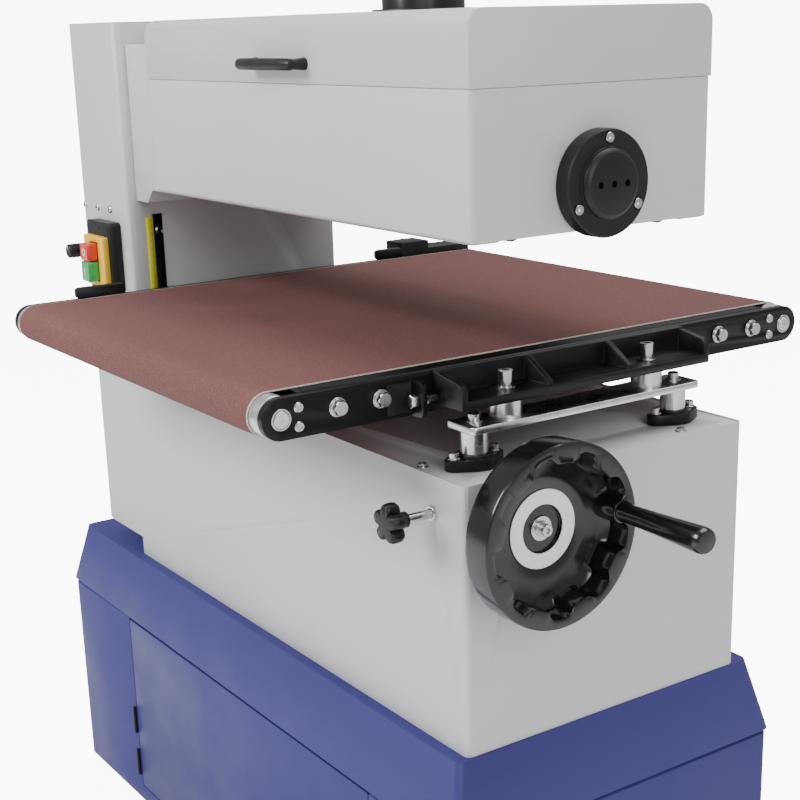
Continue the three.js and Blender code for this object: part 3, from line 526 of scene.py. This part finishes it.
def make_roller(name, cad, body):
    """A turned roller with its shaft, which ends flush with a centre hole."""
    low, high = local(cad)
    y, z = (low.y + high.y) / 2, (low.z + high.z) / 2
    radius = (high.z - low.z) / 2
    left, right = low.x + 11, RAIL_FACE - 10.8
    bm = bmesh.new()
    rings = [(0, low.x), (7.5, low.x), (9, low.x + 1.2), (9, left), (radius - 2, left), (radius, left + 2),
             (radius, right - 2), (radius - 2, right), (radius - 2.6, right + 0.2), (9, right + 0.2),
             (9, high.x - 0.8), (8.2, high.x), (5.4, high.x), (5.2, high.x - 0.4), (2.2, high.x - 0.4),
             (1.7, high.x - 2.4), (0, high.x - 3.2)]
    revolve(bm, "x", (0, y, z), rings, 56)
    make_object(name, bm, "alloy", body, replaces=[cad])


def make_end_rings():
    """Thin bright rings around the roller shafts, flush on the rail."""
    def build(bm):
        for y in (ROLLER_FRONT, ROLLER_REAR):
            washer(bm, "x", (RAIL_FACE, y, ROLLER_Z), 1, 11.4, 9.6, 0.8)
    fasteners("shaft_washers", "table", build)


# ---------------------------------------------------------------- bracket, posts and flanges

POSTS = {}
for end in ("infeed", "outfeed"):
    for side in ("open_end", "column"):
        post_low, post_high = local(f"post_{side}_{end}")
        POSTS[(side, end)] = ((post_low.x + post_high.x) / 2, (post_low.y + post_high.y) / 2)


def make_posts():
    """Ground round posts, finer than the CAD nodes that they stand in for."""
    for (side, end), (x, y) in POSTS.items():
        name = f"post_{side}_{end}"
        low, high = local(name)
        bm = bmesh.new()
        revolve(bm, "z", (x, y, 0), [(0, low.z), (14, low.z), (15, low.z + 1), (15, high.z - 0.8),
                                     (14.3, high.z), (0, high.z)], 64)
        make_object(f"turned_{name}", bm, "turned", "table", replaces=[name])


BRACKET_SCREWS_Y = (100, 306)


def make_tie_bar():
    """The flat bar between the posts, its two spacers and the screws through both."""
    low, high = local("tie_bar_open_end")
    x = (low.x + high.x) / 2
    bm = bmesh.new()
    slab(bm, "z", rounded(low.x, high.x, low.y, high.y, 7), low.z, low.z + 8)
    make_object("tie_bar_plate", bm, "zinc", "table", 0.9, 3, replaces=["tie_bar_open_end"])
    bm = bmesh.new()
    for y in BRACKET_SCREWS_Y:
        revolve(bm, "z", (x, y, 0), [(0, low.z + 8), (17.3, low.z + 8), (18, low.z + 8.7), (18, high.z - 0.7),
                                     (17.3, high.z), (0, high.z)], 64)
    make_object("tie_bar_spacers", bm, "turned", "table")
    top = low.z + 8

    def build(bm):
        for end in ("infeed", "outfeed"):
            px, py = POSTS[("open_end", end)]
            washer(bm, "z", (px, py, top), 1, 9, 4.2, 1.5)
            socket_head(bm, "z", (px, py, top + 1.5), 1, 6.6, 7.5)
    fasteners("post_cap_screws", "table", build)

    def build_tall(bm):
        flange = local("bracket_open_end")[0].z + 10
        for y in BRACKET_SCREWS_Y:
            washer(bm, "z", (x, y, flange), 1, 11, 5.2, 2.0)
            revolve(bm, "z", (x, y, flange + 2), [(0, 0), (7.6, 0), (7.6, 5), (0, 5)], 36)
            socket_head(bm, "z", (x, y, flange + 7), 1, 8.2, 13)
    fasteners("bracket_cap_screws", "table", build_tall)


FLANGE_TOP = 12
FLANGE_BOLT_REACH = 27
LID_TOP = -1
LID_SCREWS = ((-90, 12), (-16, 323), (-16, 85), (-400, 12), (-700, 12), (-90, 396), (-400, 396),
              (-700, 396))


def make_flange_bolts():
    """Two bolts on each flange bearing and the screws of the base lid.

    The bolts on the column side are low, because the tie bar comes down close to them.
    """
    def build(bm):
        for (side, _), (x, y) in POSTS.items():
            height = 6.0 if side == "open_end" else 3.4
            for dy in (-FLANGE_BOLT_REACH, FLANGE_BOLT_REACH):
                washer(bm, "z", (x, y + dy, FLANGE_TOP), 1, 7.2, 3.4, 1.3)
                socket_head(bm, "z", (x, y + dy, FLANGE_TOP + 1.3), 1, 5.4, height)
    fasteners("flange_bolts", "frame", build)

    def build_lid(bm):
        for x, y in LID_SCREWS:
            washer(bm, "z", (x, y, LID_TOP), 1, 6.4, 3.0, 1.0)
            socket_head(bm, "z", (x, y, LID_TOP + 1), 1, 5.0, 3.6, 1.0)
    fasteners("lid_screws", "frame", build_lid)


# ---------------------------------------------------------------- handwheel

WHEEL_LO, WHEEL_HI = local("handwheel")
WHEEL_Y = (WHEEL_LO.y + WHEEL_HI.y) / 2
WHEEL_Z = (WHEEL_LO.z + WHEEL_HI.z) / 2
LOBES = 9
GRIP_LO, GRIP_HI = local("handwheel_grip")
GRIP_Y = (GRIP_LO.y + GRIP_HI.y) / 2
GRIP_Z = (GRIP_LO.z + GRIP_HI.z) / 2
GRIP_ANGLE = math.atan2(GRIP_Z - WHEEL_Z, GRIP_Y - WHEEL_Y)


def lobed(depth):
    """Radius by angle of the rim's inner edge, with finger lobes that reach inwards by depth of it."""
    def shape(angle):
        wave = math.cos(LOBES * (angle - GRIP_ANGLE))
        return 1.0 - depth * (0.5 + 0.5 * math.tanh(2.4 * wave) / math.tanh(2.4))
    return shape


def make_handwheel():
    """The dished wheel with its inner lobes, pale ring, centre screw and revolving grip."""
    front = WHEEL_HI.x
    back = front - 37
    bm = bmesh.new()
    rings = [(0, 30), (9.3, 30), (9.3, 6.3), (19, 6), (20, 7), (22, 10), (23, back - 6), (30, back - 5),
             (60, back - 3),
             (88, back - 0.5), (95, back), (98.5, back + 0.8), (99.8, back + 3), (100, back + 6),
             (100, front - 3.5), (99.6, front - 1.6), (98.2, front - 0.3), (96.5, front),
             (90.2, front, lobed(0.115)), (89.2, front - 0.5, lobed(0.118)), (88.6, front - 2, lobed(0.12)),
             (88, back + 22, lobed(0.12)), (86.5, back + 11, lobed(0.11)), (81, back + 7.5, lobed(0.05)),
             (72, back + 5.6), (58, back + 4.2), (47, back + 3.4), (45, back + 2.6), (43.2, back + 2),
             (26, back + 2), (26, back - 0.6), (25.6, back - 1), (0, back - 1)]
    revolve(bm, "x", (0, WHEEL_Y, WHEEL_Z), rings, 216)
    revolve(bm, "x", (0, GRIP_Y, GRIP_Z),
            [(0, back + 3), (14, back + 3), (13.2, front - 2), (12.6, front - 0.6),
             (11.6, front), (0, front)], 48)
    make_object("dished_handwheel", bm, "gloss", "wheel", replaces=["handwheel"])

    bm = bmesh.new()
    revolve(bm, "x", (back + 2, WHEEL_Y, WHEEL_Z),
            [(26.6, 0.1), (42.8, 0.1), (43.1, 0.4), (43.1, 1.0), (42.6, 1.4),
             (27.2, 1.4), (26.6, 1.0), (26.6, 0.1)], 96)
    make_object("handwheel_ring", bm, "ring", "wheel")

    def build(bm):
        seat = back - 1
        washer(bm, "x", (seat, WHEEL_Y, WHEEL_Z), 1, 13.5, 4.5, 2.0)
        washer(bm, "x", (seat + 2, WHEEL_Y, WHEEL_Z), 1, 8.4, 4.4, 2.2)
        socket_head(bm, "x", (seat + 4.2, WHEEL_Y, WHEEL_Z), 1, 6.6, 8.0)
    fasteners("handwheel_screw", "wheel", build)

    bm = bmesh.new()
    start = GRIP_LO.x
    end = GRIP_HI.x
    rings = [(0, start), (10.2, start), (11, start + 0.8), (11, start + 5), (10.4, start + 9),
             (10.4, start + 16),
             (10.9, start + 34), (11.7, start + 56), (12.7, start + 80), (13.5, start + 98),
             (13.95, end - 12),
             (14, end - 7), (13.6, end - 4), (12.6, end - 1.2), (11.8, end - 0.3), (10.5, end), (0, end)]
    revolve(bm, "x", (0, GRIP_Y, GRIP_Z), rings, 64)
    make_object("revolving_grip", bm, "gloss", "grip", replaces=["handwheel_grip"])


# ---------------------------------------------------------------- lock knob

LOCK_Z = -42
LOBE_PLACE = 15
LOBE_RADIUS = 7.4
KNOB_HUB = 12.6


def make_lock_knob():
    """The star knob with five lobes, its stud and the ring on the housing."""
    low, high = local("lock_knob")
    x = POSTS[("open_end", "infeed")][0]
    z = LOCK_Z

    def five(size):
        """Radius by angle of five round lobes around a hub."""
        def shape(angle):
            away = (angle + math.pi / 5) % (2 * math.pi / 5) - math.pi / 5
            side = LOBE_PLACE * math.sin(away)
            tip = 0.0
            if abs(side) < LOBE_RADIUS:
                tip = LOBE_PLACE * math.cos(away) + math.sqrt(LOBE_RADIUS ** 2 - side ** 2)
            return max(KNOB_HUB, tip) * size
        return shape

    bm = bmesh.new()
    rings = [(0, low.y), (7, low.y), (1, low.y + 0.5, five(0.86)), (1, low.y + 1.6, five(0.94)),
             (1, low.y + 4.0, five(0.99)), (1, low.y + 7.0, five(1.0)), (1, low.y + 11, five(1.0)),
             (1, low.y + 14.6, five(0.97)), (1, low.y + 17.2, five(0.88)), (11.2, low.y + 18.4),
             (9.6, low.y + 19.6),
             (8.9, low.y + 22), (8.7, low.y + 28), (8.0, low.y + 28.8), (0, low.y + 28.8)]
    revolve(bm, "y", (x, 0, z), rings, 160)
    make_object("lobed_lock_knob", bm, "plastic", "lock", replaces=["lock_knob"])
    bm = bmesh.new()
    revolve(bm, "y", (x, 0, z), [(0, low.y + 28), (4.6, low.y + 28), (5, low.y + 29), (5, high.y - 0.8),
                                 (4.2, high.y), (0, high.y)], 32)
    make_object("lock_stud", bm, "bolt", "lock")

    def build(bm):
        washer(bm, "y", (x, -0.3, z), -1, 8.2, 5.6, 2.4)
    fasteners("lock_bush", "frame", build)


# ---------------------------------------------------------------- bearing cover

COVER_HOLES = (-18, 0, 18)
COVER_SCREW_CIRCLE = 46
COVER_SCREWS = [math.radians(turn) for turn in (90, 210, 330)]


def make_bearing_cover():
    """The round cover with three small holes in its boss and three screws in deep holes."""
    low, high = local("bearing_cover")
    y, z = (low.y + high.y) / 2, (low.z + high.z) / 2
    front = high.x
    bm = bmesh.new()
    rings = [(0, low.x + 8), (20, low.x + 8), (20, low.x), (53.6, low.x), (55, low.x + 1),
             (55, front - 10.4),
             (54.5, front - 9), (53.2, front - 8), (37.2, front - 8), (36.6, front - 7.4),
             (36.2, front - 4.4), (35.6, front - 3.4), (31.8, front - 0.4), (30.8, front), (0, front)]
    revolve(bm, "x", (0, y, z), rings, 96)
    cover = make_object("round_bearing_cover", bm, "plastic", "frame", replaces=["bearing_cover"])
    cutter = bmesh.new()
    for dy in COVER_HOLES:
        revolve(cutter, "x", (0, y + dy, z),
                [(0, front - 6), (3.6, front - 6), (3.6, front + 2), (0, front + 2)], 28)
    spots = [(y + COVER_SCREW_CIRCLE * math.cos(a),
              z + COVER_SCREW_CIRCLE * math.sin(a)) for a in COVER_SCREWS]
    for spot in spots:
        revolve(cutter, "x", (0, *spot), [(0, front - 12), (6.2, front - 12), (6.2, front), (0, front)], 28)
    mesh = bpy.data.meshes.new("holes")
    cutter.to_mesh(mesh)
    cutter.free()
    holes = bpy.data.objects.new("holes", mesh)
    bpy.context.scene.collection.objects.link(holes)
    cut = cover.modifiers.new("holes", "BOOLEAN")
    cut.object = holes
    cut.solver = "EXACT"
    cover.modifiers.move(len(cover.modifiers) - 1, 0)
    apply_modifier(cover, "holes")
    bpy.data.objects.remove(holes)

    def build(bm):
        for spot in spots:
            socket_head(bm, "x", (front - 12, *spot), 1, 5.4, 5.6)
    fasteners("bearing_cover_screws", "frame", build)


def apply_modifier(obj, name):
    """Bakes one modifier into the mesh."""
    kept = [m for m in obj.modifiers if m.name != name]
    shown = [(m, m.show_viewport) for m in kept]
    for m in kept:
        m.show_viewport = False
    bpy.context.view_layer.update()
    evaluated = obj.evaluated_get(bpy.context.evaluated_depsgraph_get())
    baked = bpy.data.meshes.new_from_object(evaluated)
    for m, was in shown:
        m.show_viewport = was
    obj.modifiers.remove(obj.modifiers[name])
    obj.data = baked


# ---------------------------------------------------------------- controls on the column

def make_controls():
    """Screws of the switch box, marks on its buttons and the ridged speed knob."""
    box_lo, box_hi = local("switch_box")
    middle = (box_lo.x + box_hi.x) / 2
    stop_lo, stop_hi = local("stop_button")
    start_lo, start_hi = local("start_button")

    def build(bm):
        for z in (box_hi.z - 9, box_lo.z + 4.5):
            revolve(bm, "y", (middle, box_lo.y, z),
                    [(0, 0.4), (2.4, 0.4), (2.4, -0.5), (1.2, -0.5, hexagon),
                     (1.2, 0.1, hexagon), (0, 0.1)], 24)
    fasteners("switch_screws", "frame", build, "ink")

    bm = bmesh.new()
    z = (stop_lo.z + stop_hi.z) / 2
    revolve(bm, "y", (middle, stop_lo.y, z),
            [(3.4, 0.2), (5.2, 0.2), (5.2, -0.25), (3.4, -0.25), (3.4, 0.2)], 32)
    make_object("stop_mark", bm, "white", "stop")
    bm = bmesh.new()
    z = (start_lo.z + start_hi.z) / 2
    slab(bm, "y", rounded(middle - 0.9, middle + 0.9, z - 5, z + 5, 0.5), start_lo.y - 0.25,
         start_lo.y + 0.2)
    make_object("start_mark", bm, "white", "start")

    bm = bmesh.new()
    knob_lo, knob_hi = local("speed_knob")
    x, z = (knob_lo.x + knob_hi.x) / 2, (knob_lo.z + knob_hi.z) / 2

    def ridged(angle):
        return 1.0 + 0.035 * math.cos(18 * angle)
    rings = [(0, knob_lo.y), (8.4, knob_lo.y), (9.6, knob_lo.y + 0.8), (10.1, knob_lo.y + 2, ridged),
             (10.1, knob_hi.y - 7, ridged), (9.6, knob_hi.y - 6), (8.8, knob_hi.y - 5), (8.8, knob_hi.y),
             (0, knob_hi.y)]
    revolve(bm, "y", (x, 0, z), rings, 144)
    make_object("ridged_speed_knob", bm, "plastic", "speed", replaces=["speed_knob"])
    bm = bmesh.new()
    slab(bm, "y", rounded(x - 0.6, x + 0.6, z + 2, z + 8, 0.4), knob_lo.y - 0.2, knob_lo.y + 0.3)
    make_object("speed_mark", bm, "white", "speed")


SLOT_SCREW = (-812, 58, 180)
COLUMN_SCREWS_X = (-935, -890, -845)
COLUMN_SCREW_Z = 212


def make_scale():
    """Lines on the height scale, the screw inside its slot and three domed screws above the switch box."""
    low, high = local("height_scale")

    def build(bm):
        steps = int((high.z - low.z - 4) // 2)
        for k in range(steps):
            z = low.z + 3 + 2 * k
            reach = 6.5 if k % 5 == 0 else 3.6
            slab(bm, "x", [(high.y - reach, z - 0.22), (high.y - 0.4, z - 0.22), (high.y - 0.4, z + 0.22),
                           (high.y - reach, z + 0.22)], high.x - 0.2, high.x + 0.12)
    fasteners("scale_marks", "frame", build, "ink")

    def build_screw(bm):
        x, y, z = SLOT_SCREW
        washer(bm, "x", (x, y, z), 1, 7, 3, 1.4)
        socket_head(bm, "x", (x + 1.4, y, z), 1, 5.2, 5.5, 1.0)
    fasteners("slot_screw", "frame", build_screw)

    def build_domes(bm):
        front = local("column")[0].y
        for x in COLUMN_SCREWS_X:
            revolve(bm, "y", (x, front, COLUMN_SCREW_Z),
                    [(0, 0), (5.5, 0), (5.4, -0.8), (4.7, -2.0), (3.4, -2.9), (2.0, -3.3),
                     (1.6, -3.3, hexagon), (1.6, -1.8, hexagon), (0, -1.8)], 36)
    fasteners("column_screws", "frame", build_domes)


# ---------------------------------------------------------------- cabinet, cover and rear details

FOOT_INSET_X = 82
FOOT_INSET_Y = 72


def make_cabinet_details():
    """Door hinges, and the pads around the four feet."""
    door_lo, door_hi = local("cabinet_door")

    def build(bm):
        for z in (door_lo.z + 40, door_hi.z - 170):
            revolve(bm, "z", (door_lo.x - 4.8, door_lo.y - 2.2, z),
                    [(0, -22), (2.3, -22), (2.8, -21.4), (2.8, 21.4),
                     (2.3, 22), (0, 22)], 28)
    fasteners("door_hinges", "frame", build, "black")
    bm = bmesh.new()
    low, high = local("cabinet_shell")
    for x in (low.x + FOOT_INSET_X, high.x - FOOT_INSET_X):
        for y in (low.y + FOOT_INSET_Y, high.y - FOOT_INSET_Y):
            revolve(bm, "z", (x, y, 0), [(25.3, low.z + 0.6), (29, low.z + 0.6), (30, low.z + 1.6),
                                         (28.5, low.z + 12),
                                         (27.5, low.z + 13), (25.3, low.z + 13), (25.3, low.z + 0.6)], 48)
    make_object("foot_pads", bm, "rubber", "frame")


def make_cover_details():
    """Hinge barrels at the rear edge of the drum cover and the handle on its front."""
    low, high = local("drum_cover")

    def build(bm):
        for x in (low.x + 70, (low.x + high.x) / 2, high.x - 70):
            revolve(bm, "x", (x, high.y + 2.4, low.z - 3.4),
                    [(0, -24), (2.5, -24), (3, -23.4), (3, 23.4), (2.5, 24),
                     (0, 24)], 28)
    fasteners("cover_hinges", "frame", build, "black")

    bm = bmesh.new()
    middle = (low.x + high.x) / 2
    z = low.z + 22
    for side in (-1, 1):
        revolve(bm, "y", (middle + side * 55, low.y, z),
                [(0, 0.5), (7, 0.5), (6.5, -6), (5.5, -20), (0, -20)], 28)
    revolve(bm, "x", (middle, low.y - 20, z),
            [(0, -62), (5, -61), (6.6, -58), (6.8, -30), (6.8, 30), (6.6, 58), (5, 61),
             (0, 62)], 32)
    make_object("cover_handle", bm, "plastic", "cover")


LOUVRES = 7
LOUVRE_LOW = 60
LOUVRE_PITCH = 16


def make_louvres():
    """Pressed cooling louvres on the column's outer side."""
    low, _ = local("column")
    bm = bmesh.new()
    for k in range(LOUVRES):
        z = LOUVRE_LOW + LOUVRE_PITCH * k
        slab(bm, "y", [(low.x + 0.2, z + 4), (low.x - 3.2, z - 2.6), (low.x - 3.2, z - 3.8),
                       (low.x + 0.2, z - 3.8)],
             DRUM_Y - 42, DRUM_Y + 42)
    make_object("column_louvres", bm, "grey", "frame", 0.4)


DRUM_LO, DRUM_HI = local("sanding_drum")
DRUM_Y = (DRUM_LO.y + DRUM_HI.y) / 2
DRUM_Z = (DRUM_LO.z + DRUM_HI.z) / 2


def make_drum_wrap():
    """The abrasive wrap on the drum, with a fine ring where one turn meets the next."""
    radius = (DRUM_HI.z - DRUM_LO.z) / 2
    bm = bmesh.new()
    turns = 8
    pitch = (DRUM_HI.x - DRUM_LO.x - 8) / turns
    profile = [(radius + 0.1, DRUM_LO.x + 4), (radius + 0.7, DRUM_LO.x + 4.4)]
    for turn in range(1, turns):
        x = DRUM_LO.x + 4 + pitch * turn
        profile += [(radius + 0.7, x - 1.2), (radius + 0.25, x), (radius + 0.7, x + 1.2)]
    profile += [(radius + 0.7, DRUM_HI.x - 4.4), (radius + 0.1, DRUM_HI.x - 4),
                (radius + 0.1, DRUM_LO.x + 4)]
    revolve(bm, "x", (0, DRUM_Y, DRUM_Z), profile, 72)
    make_object("drum_abrasive", bm, "paper", "drum")


# ---------------------------------------------------------------- CAD nodes that keep their shape

NODE_LOOKS = {
    "cabinet_shell": ("blue", 1.8, 3), "cabinet_door": ("blue", 1.0, 3), "door_latch": ("plastic", 0.8, 2),
    "base_housing": ("grey", 0.9, 3), "base_lid": ("grey", 0.6, 2), "column": ("grey", 1.0, 3),
    "height_scale": ("scale", 0.2, 2), "head_housing": ("grey", 1.2, 3), "drum_cover": ("grey", 1.2, 3),
    "dust_port": ("plastic", 0.6, 2), "sanding_drum": ("alloy", 0.6, 2), "drum_shaft": ("turned", 0.5, 2),
    "drum_bearing_open_end": ("turned", 0.5, 2), "drum_bearing_column": ("turned", 0.5, 2),
    "pressure_roller_infeed": ("rubber", 0.5, 2), "pressure_roller_outfeed": ("rubber", 0.5, 2),
    "drum_pulley": ("alloy", 0.6, 2), "motor_pulley": ("alloy", 0.6, 2), "drum_motor": ("cast", 1.5, 3),
    "drive_belt": ("rubber", 0.4, 2), "switch_box": ("plastic", 1.2, 3), "switch_plate": ("yellow", 0.5, 2),
    "stop_button": ("red", 1.6, 3), "start_button": ("green", 1.6, 3),
    "side_rail_open_end": ("black", 0.8, 3), "side_rail_column": ("black", 0.8, 3),
    "table_bed": ("black", 0.8, 3), "side_guide_infeed": ("plastic", 1.2, 3),
    "side_guide_outfeed": ("plastic", 1.2, 3), "conveyor_gearmotor": ("cast", 1.5, 3),
    "tension_screw": ("bolt", 0.4, 2), "bracket_open_end": ("cast", 1.2, 3),
    "bracket_column": ("cast", 1.2, 3),
    "height_pointer": ("bolt", 0.4, 2), "tie_bar_column": ("zinc", 0.9, 3),
    "flange_bearing_open_end_infeed": ("cast", 1.0, 3), "flange_bearing_open_end_outfeed": ("cast", 1.0, 3),
    "flange_bearing_column_infeed": ("cast", 1.0, 3), "flange_bearing_column_outfeed": ("cast", 1.0, 3),
    "lift_yoke": ("cast", 1.2, 2), "lift_screw": ("turned", 0.0, 2), "jack_shaft": ("turned", 0.0, 2),
    "lift_bearing_frame": ("cast", 1.2, 2), "lift_chain": ("turned", 0.4, 2),
    "handwheel_shaft": ("turned", 0.5, 2),
}


# The floor and the backdrop are seen brighter than they light the part.
FLOOR_GLOW = 9.0
BACKDROP = 9.0
WORLD_LIGHT = 0.55


def make_stage():
    """A wide pale floor."""
    bm = bmesh.new()
    bmesh.ops.create_grid(bm, x_segments=12, y_segments=12, size=60.0)
    mesh = bpy.data.meshes.new("floor")
    bm.to_mesh(mesh)
    bm.free()
    floor = bpy.data.objects.new("floor", mesh)
    bpy.context.scene.collection.objects.link(floor)
    pale = look("pale_floor", (0.90, 0.90, 0.90), 0.8, tone=0.01, patch=1.5, bump=(60.0, 0.02),
                specular=0.2)
    shader = next(n for n in pale.node_tree.nodes if n.type == "BSDF_PRINCIPLED")
    shader.inputs["Emission Color"].default_value = (1, 1, 1, 1)
    tree = pale.node_tree
    glow = tree.nodes.new("ShaderNodeMath")
    glow.operation = "MULTIPLY"
    glow.inputs[1].default_value = FLOOR_GLOW
    tree.links.new(tree.nodes.new("ShaderNodeLightPath").outputs["Is Camera Ray"], glow.inputs[0])
    tree.links.new(glow.outputs[0], shader.inputs["Emission Strength"])
    mesh.materials.append(pale)


def add_light(name, place, aim, size, power, colour=(1, 1, 1)):
    data = bpy.data.lights.new(name, "AREA")
    data.shape = "RECTANGLE"
    data.size, data.size_y = size
    data.energy = power
    data.color = colour
    light = bpy.data.objects.new(name, data)
    bpy.context.scene.collection.objects.link(light)
    light.location = place
    light.rotation_euler = (Vector(aim) - Vector(place)).to_track_quat("-Z", "Y").to_euler()


def make_light():
    """A white backdrop that lights the part less than it shows, and three soft lights."""
    world = bpy.data.worlds.new("studio")
    bpy.context.scene.world = world
    world.use_nodes = True
    tree = world.node_tree
    background = tree.nodes["Background"]
    background.inputs["Color"].default_value = (0.98, 0.985, 1.0, 1)
    background.inputs["Strength"].default_value = WORLD_LIGHT
    backdrop = tree.nodes.new("ShaderNodeBackground")
    backdrop.inputs["Color"].default_value = (1, 1, 1, 1)
    backdrop.inputs["Strength"].default_value = BACKDROP
    seen = tree.nodes.new("ShaderNodeLightPath").outputs["Is Camera Ray"]
    mix = tree.nodes.new("ShaderNodeMixShader")
    tree.links.new(seen, mix.inputs[0])
    tree.links.new(background.outputs[0], mix.inputs[1])
    tree.links.new(backdrop.outputs[0], mix.inputs[2])
    tree.links.new(mix.outputs[0], tree.nodes["World Output"].inputs["Surface"])
    add_light("key", (-0.8, -3.6, 3.2), (0, 0, 0.8), (2.4, 1.8), 230)
    add_light("side", (3.6, -0.9, 2.2), (0.2, 0, 0.7), (1.6, 1.8), 55)
    add_light("top", (0.2, 1.0, 4.2), (0, 0, 0.8), (3.2, 3.2), 150)


for node_name, (finish_name, edge, cuts) in NODE_LOOKS.items():
    finish_node(node_name, finish_name, edge, cuts)
make_belt()
make_rail_bolts()
make_roller("turned_infeed_roller", "infeed_roller", "infeed_roll")
make_roller("turned_drive_roller", "drive_roller", "drive_roll")
make_end_rings()
make_posts()
make_tie_bar()
make_flange_bolts()
make_handwheel()
make_lock_knob()
make_bearing_cover()
make_controls()
make_scale()
make_cabinet_details()
make_cover_details()
make_louvres()
make_drum_wrap()
make_stage()
make_light()
